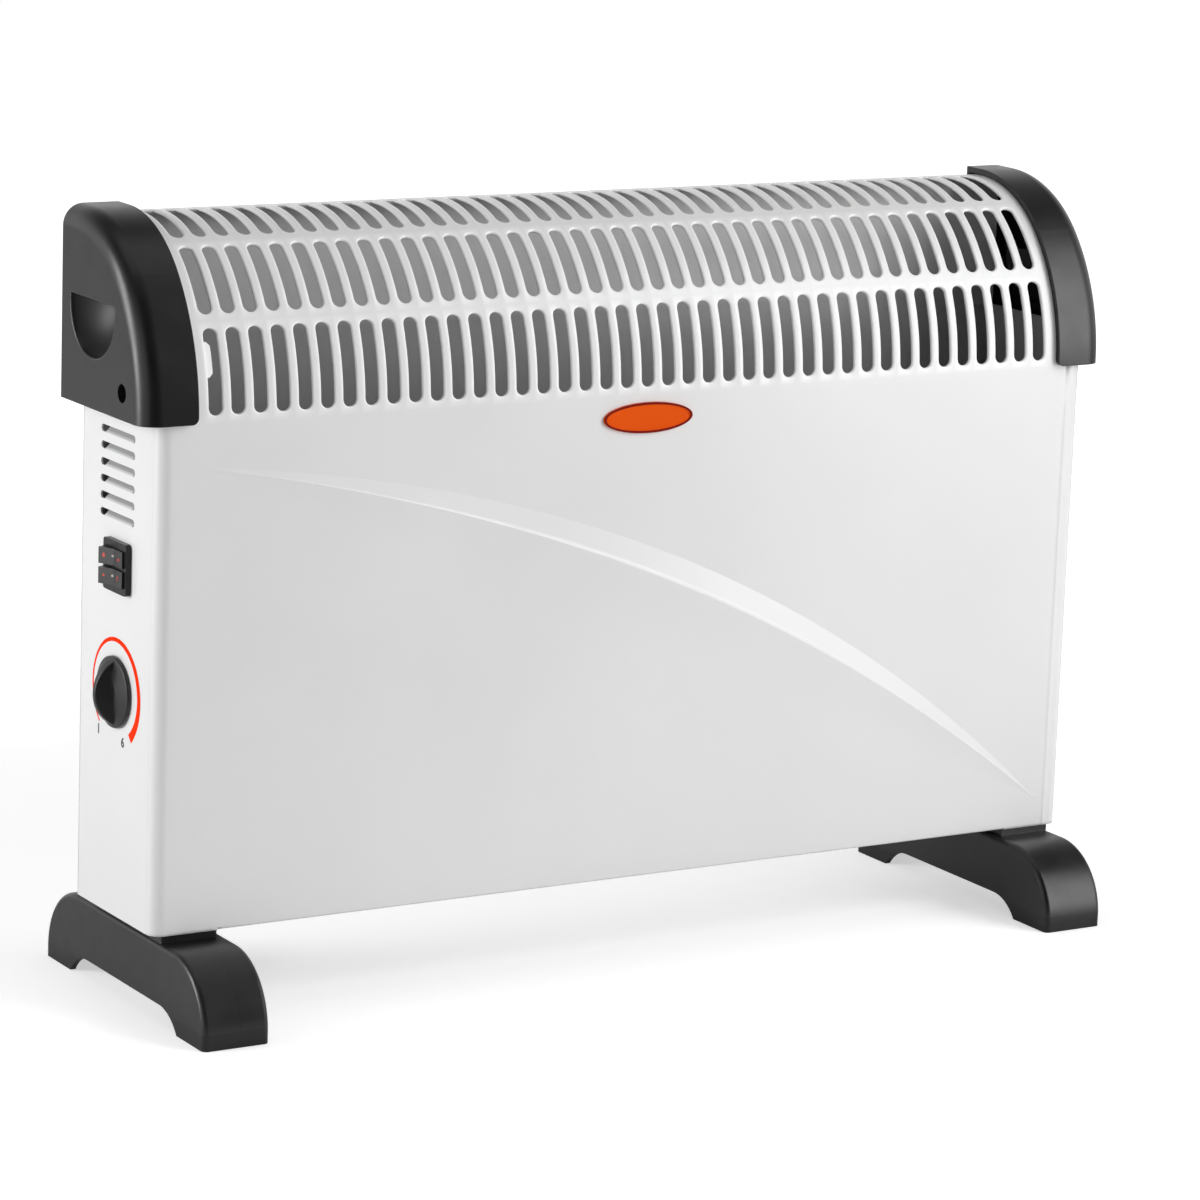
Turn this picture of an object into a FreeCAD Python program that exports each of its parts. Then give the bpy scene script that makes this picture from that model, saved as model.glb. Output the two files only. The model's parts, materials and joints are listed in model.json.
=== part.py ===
import FreeCAD, Part
import math
import os

os.makedirs("parts", exist_ok=True)
vec = FreeCAD.Vector

# Sizes are in millimetres. X runs along the width, the front faces -Y, Z is up, the floor is Z = 0.

# Whole heater
overall_width = 576.0
overall_height = 400.0

# Sheet casing
casing_depth = 87.5
casing_setback = 1.25  # middle of the casing behind the middle of the feet
casing_bottom = 45.5
sheet = 1.0
corner_radius = 7.0
seam_gap = 0.2
fold_gap = 0.5  # between a folded flange and the sheet beside it
bottom_flange = 13.0
side_bottom_flange = 32.0
side_front_flange = 9.0
side_rear_flange = 14.0
rear_top_flange = 6.0

# Curved top of the front panel
lower_arc_radius = 105.0
lower_arc_turn = 40.0
crown_flat = 9.3
rear_lip = 11.0

# Outlet slots, as angles of the sheet's turn from upright
slot_count = 41
slot_margin = 11.0  # middle of the outermost slot from the cap's inner edge
slot_width = 7.6
slot_rows = ((1.0, 25.2), (28.8, 55.8), (61.0, 88.0))
slot_cut_depth = 7.0

# Tongue behind the first slot, pressed from the front panel
tongue_rise = 20.9  # above the start of the sheet's curve
tongue_tall = 17.1
tongue_root = 2.0  # beside the slot
tongue_reach = 3.2  # into the slot
tongue_chamfer = 2.0

# Pressed swoosh across the front
swoosh_left_inset = 22.6
swoosh_left_drop = 23.0
swoosh_right_inset = 16.5
swoosh_right_rise = 16.0
swoosh_upper_bow = 48.3
swoosh_crest_bow = 35.0
swoosh_skew = 0.05
swoosh_height = 2.2
swoosh_return = 30.0
swoosh_sections = 11
swoosh_tip_share = 0.012

# Oval badge
badge_width = 53.0
badge_tall = 16.0
badge_plate = 1.0
badge_rim = 1.2
badge_rim_rise = 0.5
badge_drop = 13.5

# End caps
cap_height = 97.0
cap_width = 30.0
cap_overhang = 11.0  # beyond the casing's side
cap_proud = 3.5
cap_gap = 0.3
cap_rear_wall = 2.0
cap_side_wall = 2.5
cap_floor = 2.0
cap_edge_radius = 10.8
cap_corner_radius = 3.5
grip_width = 51.0
grip_tall = 29.5
grip_rise = 54.0  # top of the grip above the cap's lower edge
grip_back = 11.75  # middle of the grip behind the casing's middle
grip_depth = 17.0
grip_wall = 2.0
grip_shoulder = 3.5  # upright sides above the scoop's round
grip_mouth_radius = 1.0
grip_clearance = 2.5  # pocket above the side panel's upper edge

# Screws: pan heads on plain shanks
cap_screw_rise = 13.2
cap_screw_back = 20.8
cap_screw_radius = 1.9
cap_screw_head_radius = 3.6
cap_screw_head = 2.4
cap_screw_tail = 6.0
cap_boss_radius = 6.5
cap_counterbore_radius = 4.7
cap_boss_floor = 2.2
panel_screw_radius = 1.6
panel_screw_head_radius = 3.2
panel_screw_head = 1.2
panel_screw_length = 7.0
panel_screw_rows = 3
panel_screw_low = 34.0
base_screw_count = 3
base_screw_pitch = 200.0
base_screw_share = 0.65  # place across the hem, from its outer edge
foot_screw_radius = 2.0
foot_screw_head_radius = 3.8
foot_screw_head = 2.6
foot_screw_spacing = 50.0
foot_screw_tail = 3.0
screw_play = 0.15

# Feet
foot_depth = 184.0
foot_width = 36.5
foot_inset = 4.5
foot_top = 41.5
foot_toe = 5.5
foot_wall = 3.0
foot_edge_radius = 3.0
foot_arch = 10.5
foot_arch_flat = 84.0
foot_pad = 30.0
foot_seat_inset = 1.5
foot_seat_front = 2.0
foot_post_radius = 6.5
foot_post = 12.0

# Base grille
base_slot_count = 31
base_slot_margin = 44.25  # middle of the outermost slot from the foot's middle
base_slot_width = 6.0
base_slot_length = 44.0

# Control end: vents, switch and knob one under the other on the left side panel
vent_back = 3.25  # behind the casing's middle
switch_forward = 3.9  # ahead of the vents
knob_forward = 1.3
vent_count = 6
vent_drop = 11.6
vent_pitch = 8.4
vent_length = 38.5
vent_tall = 3.8
vent_blade_share = 0.8
vent_blade_open = 3.0  # blade short of the vent's rear end
vent_blade_set = 0.5  # blade short of the vent's front end

# Twin rocker switch
switch_drop = 24.1  # middle of the switch below the lowest vent
bezel_width = 26.2
bezel_tall = 26.0
bezel_proud = 3.0
bezel_radius = 2.0
switch_wall = 1.2
switch_depth = 20.0
switch_rib = 1.4
rocker_radius = 10.7
rocker_tall = 8.3
rocker_side_gap = 0.2
rocker_end_gap = 0.3
rocker_tilt = 13.0
rocker_half_length = 9.35
rocker_crown = 5.2
rocker_belly = 3.0
pivot_depth = 4.0  # below the bezel's face
pivot_radius = 1.2
pivot_length = 0.5
pivot_end_gap = 0.1
pivot_play = 0.05
terminal_width = 4.8
terminal_thick = 0.8
terminal_length = 8.0
terminal_spread = 7.0

# Thermostat and its knob
knob_drop = 64.4  # knob below the middle of the switch
knob_radius = 18.2
knob_skirt = 1.9
knob_dome = 2.0
knob_dome_radius = 8.0
knob_lift = 0.6
knob_skirt_edge = 0.8
fin_length = 33.8
fin_height = 7.7
fin_root = 8.2
fin_edge = 3.0
fin_round = 0.9
shaft_radius = 3.0
shaft_play = 0.05
shaft_press = 0.03
shaft_engage = 4.3  # shaft end above the knob's lower face
shaft_inside = 14.0  # shaft end behind the panel
bush_radius = 4.0
bush_proud = 2.3
nut_flats = 11.0
nut_thick = 2.0
nut_room = 0.8
stat_width = 26.0
stat_tall = 30.0
stat_depth = 18.0
blade_width = 8.0
blade_thick = 0.8
bimetal_reach = 30.0
bimetal_stand = 6.0
contact_reach = 12.0
contact_stand = 3.0

# Control partition
partition_inset = 33.5
partition_drop = 2.0  # below the start of the sheet's curve, so the slots stay clear
partition_flange = 11.0

# Heating elements: two sheathed hairpins, one above the other
element_radius = 4.0
element_bend = 14.0
element_drop = 30.0  # upper element below the knob; the lower one is half way down to the base
element_end_gap = 47.0  # start of the hairpin's turn from the casing's side
element_tail = 9.0
pin_radius = 1.5
pin_length = 9.0
element_play = 0.15
ceramic_radius = 6.5
ceramic_flange_radius = 8.5
ceramic_flange = 3.0
ceramic_neck = 4.0
bracket_end_gap = 15.0  # right bracket from the start of the hairpin's turn
bracket_margin = 14.0
bracket_width = 62.0
bracket_foot = 12.0
bracket_play = 0.3

# Thermal cutout
cutout_radius = 9.0
cutout_thick = 6.0
cutout_neck_radius = 6.5
cutout_neck = 6.0
cutout_play = 0.2
cutout_blade_width = 4.0
cutout_blade_length = 6.0
cutout_blade_spread = 6.0

# Terminal block and cord gland at the lower rear of the control end
block_width = 11.0
block_length = 34.0
block_tall = 14.0
block_inset = 6.0
block_back = 4.0
block_ways = 3
block_bore_radius = 1.9
block_screw_radius = 1.6
block_screw_length = 6.0
gland_rise = 52.0
gland_flange_radius = 9.0
gland_flange = 3.0
gland_neck_radius = 6.0
gland_neck = 9.0
gland_bore_radius = 3.7
gland_play = 0.15
gland_nut_radius = 8.5
gland_nut = 3.0

# Internal wires
wire_radius = 1.1
wire_bend = 12.0  # largest radius of a bend
wire_bend_share = 0.45  # most of a run that a bend may take
wire_in_block = 4.0  # length of a wire inside the terminal block
wire_stand = 4.0  # run of a wire off the face or the tip that it meets
wire_clear = 4.25  # wire's middle from the thermostat's side
wire_gap = 0.1  # between a wire's end and the tab that it is crimped to

# Places worked out from the sizes above
half_width = overall_width / 2 - cap_overhang
cap_inner = overall_width / 2 - cap_width
slot_pitch = 2 * (cap_inner - slot_margin) / (slot_count - 1)
front_y = casing_setback - casing_depth / 2
rear_y = casing_setback + casing_depth / 2
rear_face = rear_y + sheet
sheet_top = overall_height - cap_proud
cap_bottom = overall_height - cap_height
turn = math.radians(lower_arc_turn)
upper_arc_radius = lower_arc_radius - (lower_arc_radius - casing_depth + crown_flat) / math.cos(turn)
arc_step = lower_arc_radius - upper_arc_radius
curve_start = sheet_top - upper_arc_radius - arc_step * math.sin(turn)
lower_centre = vec(0, front_y + lower_arc_radius, curve_start)
upper_centre = lower_centre + vec(0, -arc_step * math.cos(turn), arc_step * math.sin(turn))
seam_y = front_y + corner_radius
grip_top = cap_bottom + grip_rise
side_top = grip_top - grip_tall - grip_wall - grip_clearance
base_low = casing_bottom + sheet
base_top = base_low + sheet
vent_y = casing_setback + vent_back
switch_y = vent_y - switch_forward
knob_y = vent_y - knob_forward
lowest_vent = cap_bottom - vent_drop - vent_pitch * (vent_count - 1)
switch_z = lowest_vent - switch_drop
knob_z = switch_z - knob_drop
upper_element_z = knob_z - element_drop
lower_element_z = (base_top + upper_element_z) / 2
element_end = half_width - element_end_gap
partition_top = curve_start - partition_drop
panel_screw_pitch = (side_top - casing_bottom - 2 * panel_screw_low) / (panel_screw_rows - 1)
panel_x = -half_width
inner_x = panel_x + sheet
partition_x = panel_x + partition_inset
flange_end = half_width - side_bottom_flange - sheet - fold_gap
foot_outer = half_width - foot_inset
foot_x = foot_outer - foot_width / 2
base_slot_pitch = 2 * (foot_x - base_slot_margin) / (base_slot_count - 1)
along_x = vec(1, 0, 0)
along_y = vec(0, 1, 0)
along_z = vec(0, 0, 1)


def box(x0, x1, y0, y1, z0, z1):
    return Part.makeBox(x1 - x0, y1 - y0, z1 - z0, vec(x0, y0, z0))


def rod(radius, start, direction, length):
    return Part.makeCylinder(radius, length, start, direction)


def line(a, b):
    return Part.LineSegment(a, b).toShape()


def arc(a, middle, b):
    return Part.Arc(a, middle, b).toShape()


def face(edges):
    return Part.Face(Part.Wire(edges))


def polygon(points):
    return Part.Face(Part.makePolygon(points + points[:1]))


def joined(shapes):
    return shapes[0].multiFuse(shapes[1:]).removeSplitter()


def mirrored(shape):
    return shape.mirror(vec(0, 0, 0), along_x)


def stadium(centre, across, along, width, length):
    """Flat face with straight sides and round ends."""
    radius = width / 2
    side = across * radius
    reach = along * (length / 2 - radius)
    tip = along * (length / 2)
    edges = [
        line(centre + side - reach, centre + side + reach),
        arc(centre + side + reach, centre + tip, centre - side + reach),
        line(centre - side + reach, centre - side - reach),
        arc(centre - side - reach, centre - tip, centre + side - reach),
    ]
    return face(edges)


def screw(seat, direction, radius, length, head_radius, head):
    """Pan head resting on the seat, with its shank along the direction."""
    shank = rod(radius, seat, direction, length)
    cap = rod(head_radius, seat - direction * head, direction, head)
    return shank.fuse(cap)


def on_curve(degrees, grow):
    """Point of the sheet's curved top where it has turned by the angle, grown outwards."""
    angle = math.radians(degrees)
    outwards = vec(0, -math.cos(angle), math.sin(angle))
    if degrees <= lower_arc_turn:
        return lower_centre + outwards * (lower_arc_radius + grow)
    return upper_centre + outwards * (upper_arc_radius + grow)


def under_top(grow, rear_grow, bottom, x0, x1):
    """Solid below the curved top, from the front to the rear."""
    front = front_y - grow
    rear = rear_face + rear_grow
    foot_front = vec(0, front, 0)
    start = on_curve(0, grow)
    change = on_curve(lower_arc_turn, grow)
    crown = on_curve(90, grow)
    corner = vec(0, rear, crown.z)
    foot_rear = vec(0, rear, 0)
    edges = [
        line(foot_front, start),
        arc(start, on_curve(lower_arc_turn / 2, grow), change),
        arc(change, on_curve((90 + lower_arc_turn) / 2, grow), crown),
        line(crown, corner),
        line(corner, foot_rear),
        line(foot_rear, foot_front),
    ]
    section = face(edges)
    section.translate(along_x * x0)
    return section.extrude(along_x * (x1 - x0)).cut(box(x0, x1, front, rear, 0, bottom))


def slot_cutters():
    """One prism per outlet slot, square to the middle of its row."""
    cutters = []
    for first, last in slot_rows:
        low = on_curve(first, 0)
        high = on_curve(last, 0)
        angle = math.radians((first + last) / 2)
        outwards = vec(0, -math.cos(angle), math.sin(angle))
        along = vec(0, math.sin(angle), math.cos(angle))
        length = (high - low).dot(along)
        centre = (low + high) * 0.5 - outwards * slot_cut_depth
        prism = stadium(centre, along_x, along, slot_width, length).extrude(outwards * (2 * slot_cut_depth))
        for column in range(slot_count):
            offset = (column - (slot_count - 1) / 2) * slot_pitch
            cutters.append(prism.translated(along_x * offset))
    return Part.makeCompound(cutters)


def swoosh_ridge():
    """Crescent ridge between two bows, with a long lower return, rooted half a sheet deep."""
    left = vec(-half_width + swoosh_left_inset, front_y, curve_start - swoosh_left_drop)
    right = vec(half_width - swoosh_right_inset, front_y, casing_bottom + swoosh_right_rise)
    chord = right - left
    upwards = vec(-chord.z, 0, chord.x).normalize()
    root = sheet / 2
    sections = []
    for number in range(swoosh_sections):
        share = swoosh_tip_share + (1 - 2 * swoosh_tip_share) * number / (swoosh_sections - 1)
        swell = 4 * share * (1 - share)
        skewed = swell * (1 + swoosh_skew * (2 * share - 1))
        spine = left + chord * share
        crest = spine + upwards * (swoosh_crest_bow * skewed) - along_y * (swoosh_height * swell)
        upper = spine + upwards * (swoosh_upper_bow * skewed)
        lower = crest - upwards * (swoosh_return * swell)
        lower.y = front_y
        deeper = root / (swoosh_height * swell)
        upper_root = upper + (upper - crest) * deeper
        lower_root = lower + (lower - crest) * deeper
        sections.append(Part.makePolygon([upper_root, crest, lower_root, upper_root]))
    return Part.makeLoft(sections, True, False)


def front_panel():
    straight = half_width - corner_radius
    hollow = under_top(-sheet, -sheet, casing_bottom - sheet, -half_width, half_width)
    skin = under_top(0, 0, casing_bottom, -straight, straight).cut(hollow)
    below_lip = box(-half_width, half_width, rear_y - sheet, rear_face + sheet, 0, sheet_top - rear_lip)
    skin = skin.cut(below_lip)
    corner_tall = side_top - casing_bottom
    corner_foot = vec(straight, seam_y, casing_bottom)
    round_corner = Part.makeCylinder(corner_radius, corner_tall, corner_foot, along_z, 90)
    round_corner = round_corner.cut(rod(corner_radius - sheet, corner_foot, along_z, corner_tall))
    round_corner.rotate(corner_foot, along_z, -90)
    round_corner = round_corner.common(under_top(0, 0, casing_bottom, straight, half_width))
    hem = box(-flange_end, flange_end, front_y, front_y + bottom_flange, casing_bottom, base_low)
    panel = joined([skin, round_corner, mirrored(round_corner), hem])
    ridge = swoosh_ridge()
    panel = panel.fuse(ridge).cut(ridge.translated(along_y * sheet))
    holes = [rod(panel_screw_radius + screw_play, place, along_z, sheet) for place in base_screw_places()[0]]
    return panel.cut(slot_cutters()).cut(Part.makeCompound(holes)).fuse(slot_tongue())


def slot_tongue():
    """Strip behind the sheet that covers part of the first slot from its outer side."""
    edge = slot_margin - cap_inner - slot_width / 2
    left = edge - tongue_root
    right = edge + tongue_reach
    low = curve_start + tongue_rise
    high = low + tongue_tall
    outline = polygon([
        vec(left, front_y, low),
        vec(right - tongue_chamfer, front_y, low),
        vec(right, front_y, low + tongue_chamfer),
        vec(right, front_y, high - tongue_chamfer),
        vec(right - tongue_chamfer, front_y, high),
        vec(left, front_y, high),
    ]).extrude(along_y * lower_arc_radius / 2)
    layer = under_top(-sheet / 2, 0, casing_bottom, left, right)
    layer = layer.cut(under_top(-2 * sheet, sheet, casing_bottom - sheet, left - sheet, right + sheet))
    return layer.common(outline)


def base_screw_places():
    """Screws up through the front and rear hems: two rows of places at the casing's underside."""
    rows = []
    across = bottom_flange * base_screw_share
    for y in (front_y + across, rear_y - sheet - across):
        first = -base_screw_pitch * (base_screw_count - 1) / 2
        rows.append([vec(first + base_screw_pitch * n, y, casing_bottom) for n in range(base_screw_count)])
    return rows


def rear_screw_places():
    """Screws through the rear panel into the side panels' rear flanges."""
    x = half_width - side_rear_flange / 2
    heights = [casing_bottom + panel_screw_low + panel_screw_pitch * n for n in range(panel_screw_rows)]
    return [vec(side * x, rear_y, z) for side in (-1, 1) for z in heights]


def panel_screws():
    sizes = (panel_screw_radius, panel_screw_length, panel_screw_head_radius, panel_screw_head)
    rear = [screw(place, -along_y, *sizes) for place in rear_screw_places()]
    base = [screw(place, along_z, *sizes) for row in base_screw_places() for place in row]
    return Part.makeCompound(rear + base)


def rear_panel():
    top = sheet_top - sheet
    plate = box(-half_width, half_width, rear_y - sheet, rear_y, casing_bottom, top)
    hem = box(-flange_end, flange_end, rear_y - sheet - bottom_flange, rear_y, casing_bottom, base_low)
    lip = box(-cap_inner, cap_inner, rear_y - sheet - rear_top_flange, rear_y, top - sheet, top)
    panel = joined([plate, hem, lip])
    hole = panel_screw_radius + screw_play
    holes = [rod(hole, place, -along_y, sheet) for place in rear_screw_places()]
    holes += [rod(hole, place, along_z, sheet) for place in base_screw_places()[1]]
    gland_hole = rod(gland_neck_radius + gland_play, gland_place(), -along_y, sheet)
    return panel.cut(Part.makeCompound(holes + [gland_hole]))


def plain_side():
    """Left side panel before its cutouts: a tray with folded front, rear and lower flanges."""
    rear = rear_y - sheet
    wall = box(panel_x, inner_x, seam_y + seam_gap, rear, casing_bottom, side_top)
    front_low = base_top + fold_gap
    front_fold_y = seam_y + seam_gap
    front_fold = box(panel_x, inner_x + side_front_flange,
                     front_fold_y, front_fold_y + sheet, front_low, side_top)
    rear_fold = box(panel_x, panel_x + side_rear_flange, rear - sheet, rear, base_low, side_top)
    floor_y = (front_fold_y, rear - sheet - fold_gap)
    floor = box(panel_x, inner_x + side_bottom_flange, *floor_y, casing_bottom, base_low)
    panel = joined([wall, front_fold, rear_fold, floor])
    screw_hole = panel_screw_radius + screw_play
    holes = [rod(screw_hole, place, -along_y, 3 * sheet) for place in rear_screw_places()]
    holes += foot_screw_holes(-foot_x)
    holes.append(rod(cap_screw_radius + screw_play, cap_screw_seat(), along_x, cap_screw_tail))
    return panel.cut(Part.makeCompound(holes))


def vent_slots():
    """Slots and inclined blades of the louvred vents."""
    slots = []
    blades = []
    for number in range(vent_count):
        z = cap_bottom - vent_drop - vent_pitch * number
        opening = stadium(vec(panel_x, vent_y, z), along_z, along_y, vent_tall, vent_length)
        slots.append(opening.extrude(along_x * sheet))
        low = z - vent_tall / 2
        rise = vent_tall * vent_blade_share
        start = vent_y - vent_length / 2 + vent_tall / 2 + vent_blade_set
        length = vent_length - vent_tall - vent_blade_open
        points = [
            vec(panel_x, start, low),
            vec(inner_x, start, low),
            vec(inner_x + rise, start, low + rise),
            vec(panel_x + rise, start, low + rise),
        ]
        blades.append(polygon(points).extrude(along_y * length))
    return slots, blades


def left_side_panel():
    slots, blades = vent_slots()
    width = switch_body_width() + 2 * screw_play
    tall = switch_body_tall() + 2 * screw_play
    switch_hole = box(panel_x, inner_x, switch_y - width / 2, switch_y + width / 2,
                      switch_z - tall / 2, switch_z + tall / 2)
    bush_hole = rod(bush_radius + screw_play, vec(panel_x, knob_y, knob_z), along_x, sheet)
    panel = plain_side().cut(Part.makeCompound(slots + [switch_hole, bush_hole]))
    return joined([panel] + blades)


def base_grille():
    inset = sheet + fold_gap
    reach = half_width - inset
    plate = box(-reach, reach, front_y + inset, rear_y - sheet - inset, base_low, base_top)
    corners = [edge for edge in plate.Edges if is_upright(edge) and edge.CenterOfMass.y < casing_setback]
    plate = plate.makeFillet(corner_radius, corners)
    start = -base_slot_pitch * (base_slot_count - 1) / 2
    cuts = foot_screw_holes(foot_x) + foot_screw_holes(-foot_x)
    for number in range(base_slot_count):
        centre = vec(start + base_slot_pitch * number, casing_setback, base_low)
        slot = stadium(centre, along_x, along_y, base_slot_width, base_slot_length)
        cuts.append(slot.extrude(along_z * sheet))
    for row in base_screw_places():
        cuts += [rod(panel_screw_radius + screw_play, place, along_z, 3 * sheet) for place in row]
    return plate.cut(Part.makeCompound(cuts))


def is_upright(edge):
    return abs(edge.tangentAt(edge.FirstParameter).z) > 0.99


def cap_screw_seat():
    """Where the left cap's screw head rests, inside its counterbore."""
    return vec(panel_x - cap_boss_floor, front_y + cap_screw_back, cap_bottom + cap_screw_rise)


def grip_scoop(grow):
    """Finger scoop: a ball's lower part with the upright round above it, closed by a straight top."""
    half = grip_width / 2
    radius = (half * half + grip_depth * grip_depth) / (2 * grip_depth)
    level = grip_top - grip_shoulder
    centre = vec(grip_depth - radius - overall_width / 2, casing_setback + grip_back, level)
    ball = Part.makeSphere(radius + grow, centre)
    upright = rod(radius + grow, centre, along_z, grip_shoulder + grow)
    above = box(centre.x - 2 * radius, centre.x + 2 * radius, centre.y - 2 * radius, centre.y + 2 * radius,
                level, level + 2 * radius)
    return ball.cut(above).fuse(upright)


def left_end_cap():
    outer_x = -overall_width / 2
    rear_grow = cap_gap + cap_rear_wall
    shell = under_top(cap_proud, rear_grow, cap_bottom, outer_x, -cap_inner)
    rim = [edge for edge in shell.Edges if on_rim(edge, outer_x, rear_face + rear_grow, cap_bottom)]
    shell = shell.makeFillet(cap_edge_radius, rim)
    lower_inner = [edge for edge in shell.Edges if is_at(edge, -cap_inner, cap_bottom)]
    shell = shell.makeFillet(cap_corner_radius, lower_inner)
    inside_x = outer_x + cap_side_wall
    inside_low = cap_bottom + cap_floor
    hollow = under_top(cap_gap, cap_gap, inside_low, inside_x, sheet - cap_inner)
    rim = [edge for edge in hollow.Edges if on_rim(edge, inside_x, rear_face + cap_gap, inside_low)]
    hollow = hollow.makeFillet(cap_edge_radius - cap_side_wall, rim)
    mouth = box(panel_x - cap_gap, sheet - cap_inner, front_y - cap_gap, rear_face + cap_gap,
                cap_bottom - sheet, inside_low + sheet)
    pocket = grip_scoop(0)
    behind_face = box(outer_x + cap_side_wall / 2, 0, front_y, rear_face, cap_bottom, overall_height)
    liner = grip_scoop(grip_wall).common(behind_face)
    seat = cap_screw_seat()
    boss_start = vec(outer_x + cap_side_wall / 2, seat.y, seat.z)
    boss = rod(cap_boss_radius, boss_start, along_x, panel_x - boss_start.x)
    counterbore = rod(cap_counterbore_radius, seat, -along_x, overall_width)
    bore = rod(cap_screw_radius + screw_play, seat, along_x, cap_boss_floor)
    cap = shell.cut(hollow).cut(mouth).multiFuse([liner, boss])
    cap = cap.cut(pocket).cut(counterbore).cut(bore)
    lips = [edge for edge in cap.Edges if edge_lies_at(edge, outer_x) and in_grip(edge)]
    return cap.makeFillet(grip_mouth_radius, lips)


def edge_lies_at(edge, x):
    return all(abs(vertex.X - x) < 1e-4 for vertex in edge.Vertexes)


def in_grip(edge):
    middle = casing_setback + grip_back
    centre = edge.CenterOfMass
    beside = abs(centre.y - middle) < grip_width / 2 + grip_wall
    level = abs(centre.z - grip_top + grip_tall / 2) < grip_tall / 2 + grip_wall
    return beside and level


def on_rim(edge, x, rear, low):
    """Edges of the cap's outer face along its front and top, without its rear and lower ones."""
    ends = edge.Vertexes
    at_rear = all(abs(vertex.Y - rear) < 1e-4 for vertex in ends)
    at_bottom = all(abs(vertex.Z - low) < 1e-4 for vertex in ends)
    return edge_lies_at(edge, x) and not at_rear and not at_bottom


def is_at(edge, x, z):
    return all(abs(vertex.X - x) < 1e-4 and abs(vertex.Z - z) < 1e-4 for vertex in edge.Vertexes)


def end_cap_screws():
    sizes = (cap_screw_radius, cap_screw_tail, cap_screw_head_radius, cap_screw_head)
    one = screw(cap_screw_seat(), along_x, *sizes)
    return Part.makeCompound([one, mirrored(one)])


def foot_outline(shrink, low):
    """Edges of the foot's end and top outline, from its rear toe over the top to its front toe."""
    half = foot_depth / 2
    radius = half - (half - foot_top + foot_toe)
    reach = half - radius
    inner = radius - shrink
    diagonal = inner * math.sqrt(0.5)
    points = []
    for side in (-1, 1):
        toe = vec(0, side * (half - shrink), low)
        bend = vec(0, side * (half - shrink), foot_toe)
        middle = vec(0, side * (reach + diagonal), foot_toe + diagonal)
        crown = vec(0, side * reach, foot_toe + inner)
        points.append((toe, bend, middle, crown))
    front, rear = points
    return [
        line(front[0], front[1]),
        arc(front[1], front[2], front[3]),
        line(front[3], rear[3]),
        arc(rear[3], rear[2], rear[1]),
        line(rear[1], rear[0]),
    ]


def foot_arch_edges():
    """Underside from the rear pad over the arch to the front pad."""
    half = foot_depth / 2
    pad_end = half - foot_pad
    flat = foot_arch_flat / 2
    run = pad_end - flat
    radius = (run * run + foot_arch * foot_arch) / (2 * foot_arch)
    sweep = math.asin(run / radius) / 2
    middle_y = flat + radius * math.sin(sweep)
    middle_z = foot_arch - radius * (1 - math.cos(sweep))
    return [
        line(vec(0, half, 0), vec(0, pad_end, 0)),
        arc(vec(0, pad_end, 0), vec(0, middle_y, middle_z), vec(0, flat, foot_arch)),
        line(vec(0, flat, foot_arch), vec(0, -flat, foot_arch)),
        arc(vec(0, -flat, foot_arch), vec(0, -middle_y, middle_z), vec(0, -pad_end, 0)),
        line(vec(0, -pad_end, 0), vec(0, -half, 0)),
    ]


def foot_screw_places(x):
    return [vec(x, casing_setback + side * foot_screw_spacing / 2, foot_top - foot_post) for side in (-1, 1)]


def foot_screw_length():
    return base_top + foot_screw_tail - foot_top + foot_post


def foot_screw_holes(x):
    length = foot_screw_length()
    return [rod(foot_screw_radius + screw_play, place, along_z, length) for place in foot_screw_places(x)]


def foot_screws():
    sizes = (foot_screw_radius, foot_screw_length(), foot_screw_head_radius, foot_screw_head)
    return Part.makeCompound([screw(place, along_z, *sizes)
                              for x in (-foot_x, foot_x) for place in foot_screw_places(x)])


def right_foot():
    half = foot_width / 2
    outline = face(foot_outline(0, 0) + foot_arch_edges())
    outline.translate(along_x * (foot_x - half))
    block = outline.extrude(along_x * foot_width)
    faces_x = (foot_x - half, foot_x + half)
    sides = [edge for edge in block.Edges if any(edge_lies_at(edge, x) for x in faces_x)]
    upper = [edge for edge in sides if edge.CenterOfMass.z > foot_arch or is_upright(edge)]
    block = block.makeFillet(foot_edge_radius, upper)
    low = -foot_wall
    inside = foot_outline(foot_wall, low)
    toe_reach = foot_depth / 2 - foot_wall
    inside.append(line(vec(0, toe_reach, low), vec(0, -toe_reach, low)))
    hollow = face(inside)
    hollow.translate(along_x * (foot_x - half + foot_wall))
    hollow = hollow.extrude(along_x * (foot_width - 2 * foot_wall))
    seat = box(foot_x - half + foot_edge_radius + foot_seat_inset, foot_x + half - foot_seat_inset,
               front_y + foot_seat_front, rear_y - sheet - foot_seat_front,
               foot_top - foot_wall, casing_bottom)
    posts = [rod(foot_post_radius, place, along_z, foot_post) for place in foot_screw_places(foot_x)]
    foot = joined([block.cut(hollow), seat] + posts)
    return foot.cut(Part.makeCompound(foot_screw_holes(foot_x)))


def oval(width, tall, y, depth):
    ellipse = Part.Ellipse(vec(0, 0, 0), width / 2, tall / 2).toShape()
    plate = Part.Face(Part.Wire([ellipse])).extrude(along_z * depth)
    plate.rotate(vec(0, 0, 0), along_x, 90)
    plate.translate(vec(0, y, curve_start - badge_drop))
    return plate


def oval_badge():
    plate = oval(badge_width, badge_tall, front_y, badge_plate + badge_rim_rise)
    inner = (badge_width - 2 * badge_rim, badge_tall - 2 * badge_rim)
    recess = oval(*inner, front_y - badge_plate, badge_rim_rise)
    return plate.cut(recess)


def rocker_opening():
    return 2 * (rocker_radius + rocker_end_gap)


def rocker_room():
    return rocker_tall + 2 * rocker_side_gap


def switch_body_width():
    return rocker_opening() + 2 * switch_wall


def switch_body_tall():
    return 2 * rocker_room() + switch_rib + 2 * switch_wall


def rocker_z(side):
    return switch_z + side * (rocker_room() + switch_rib) / 2


def pivot_x():
    return panel_x - bezel_proud + pivot_depth


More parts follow.
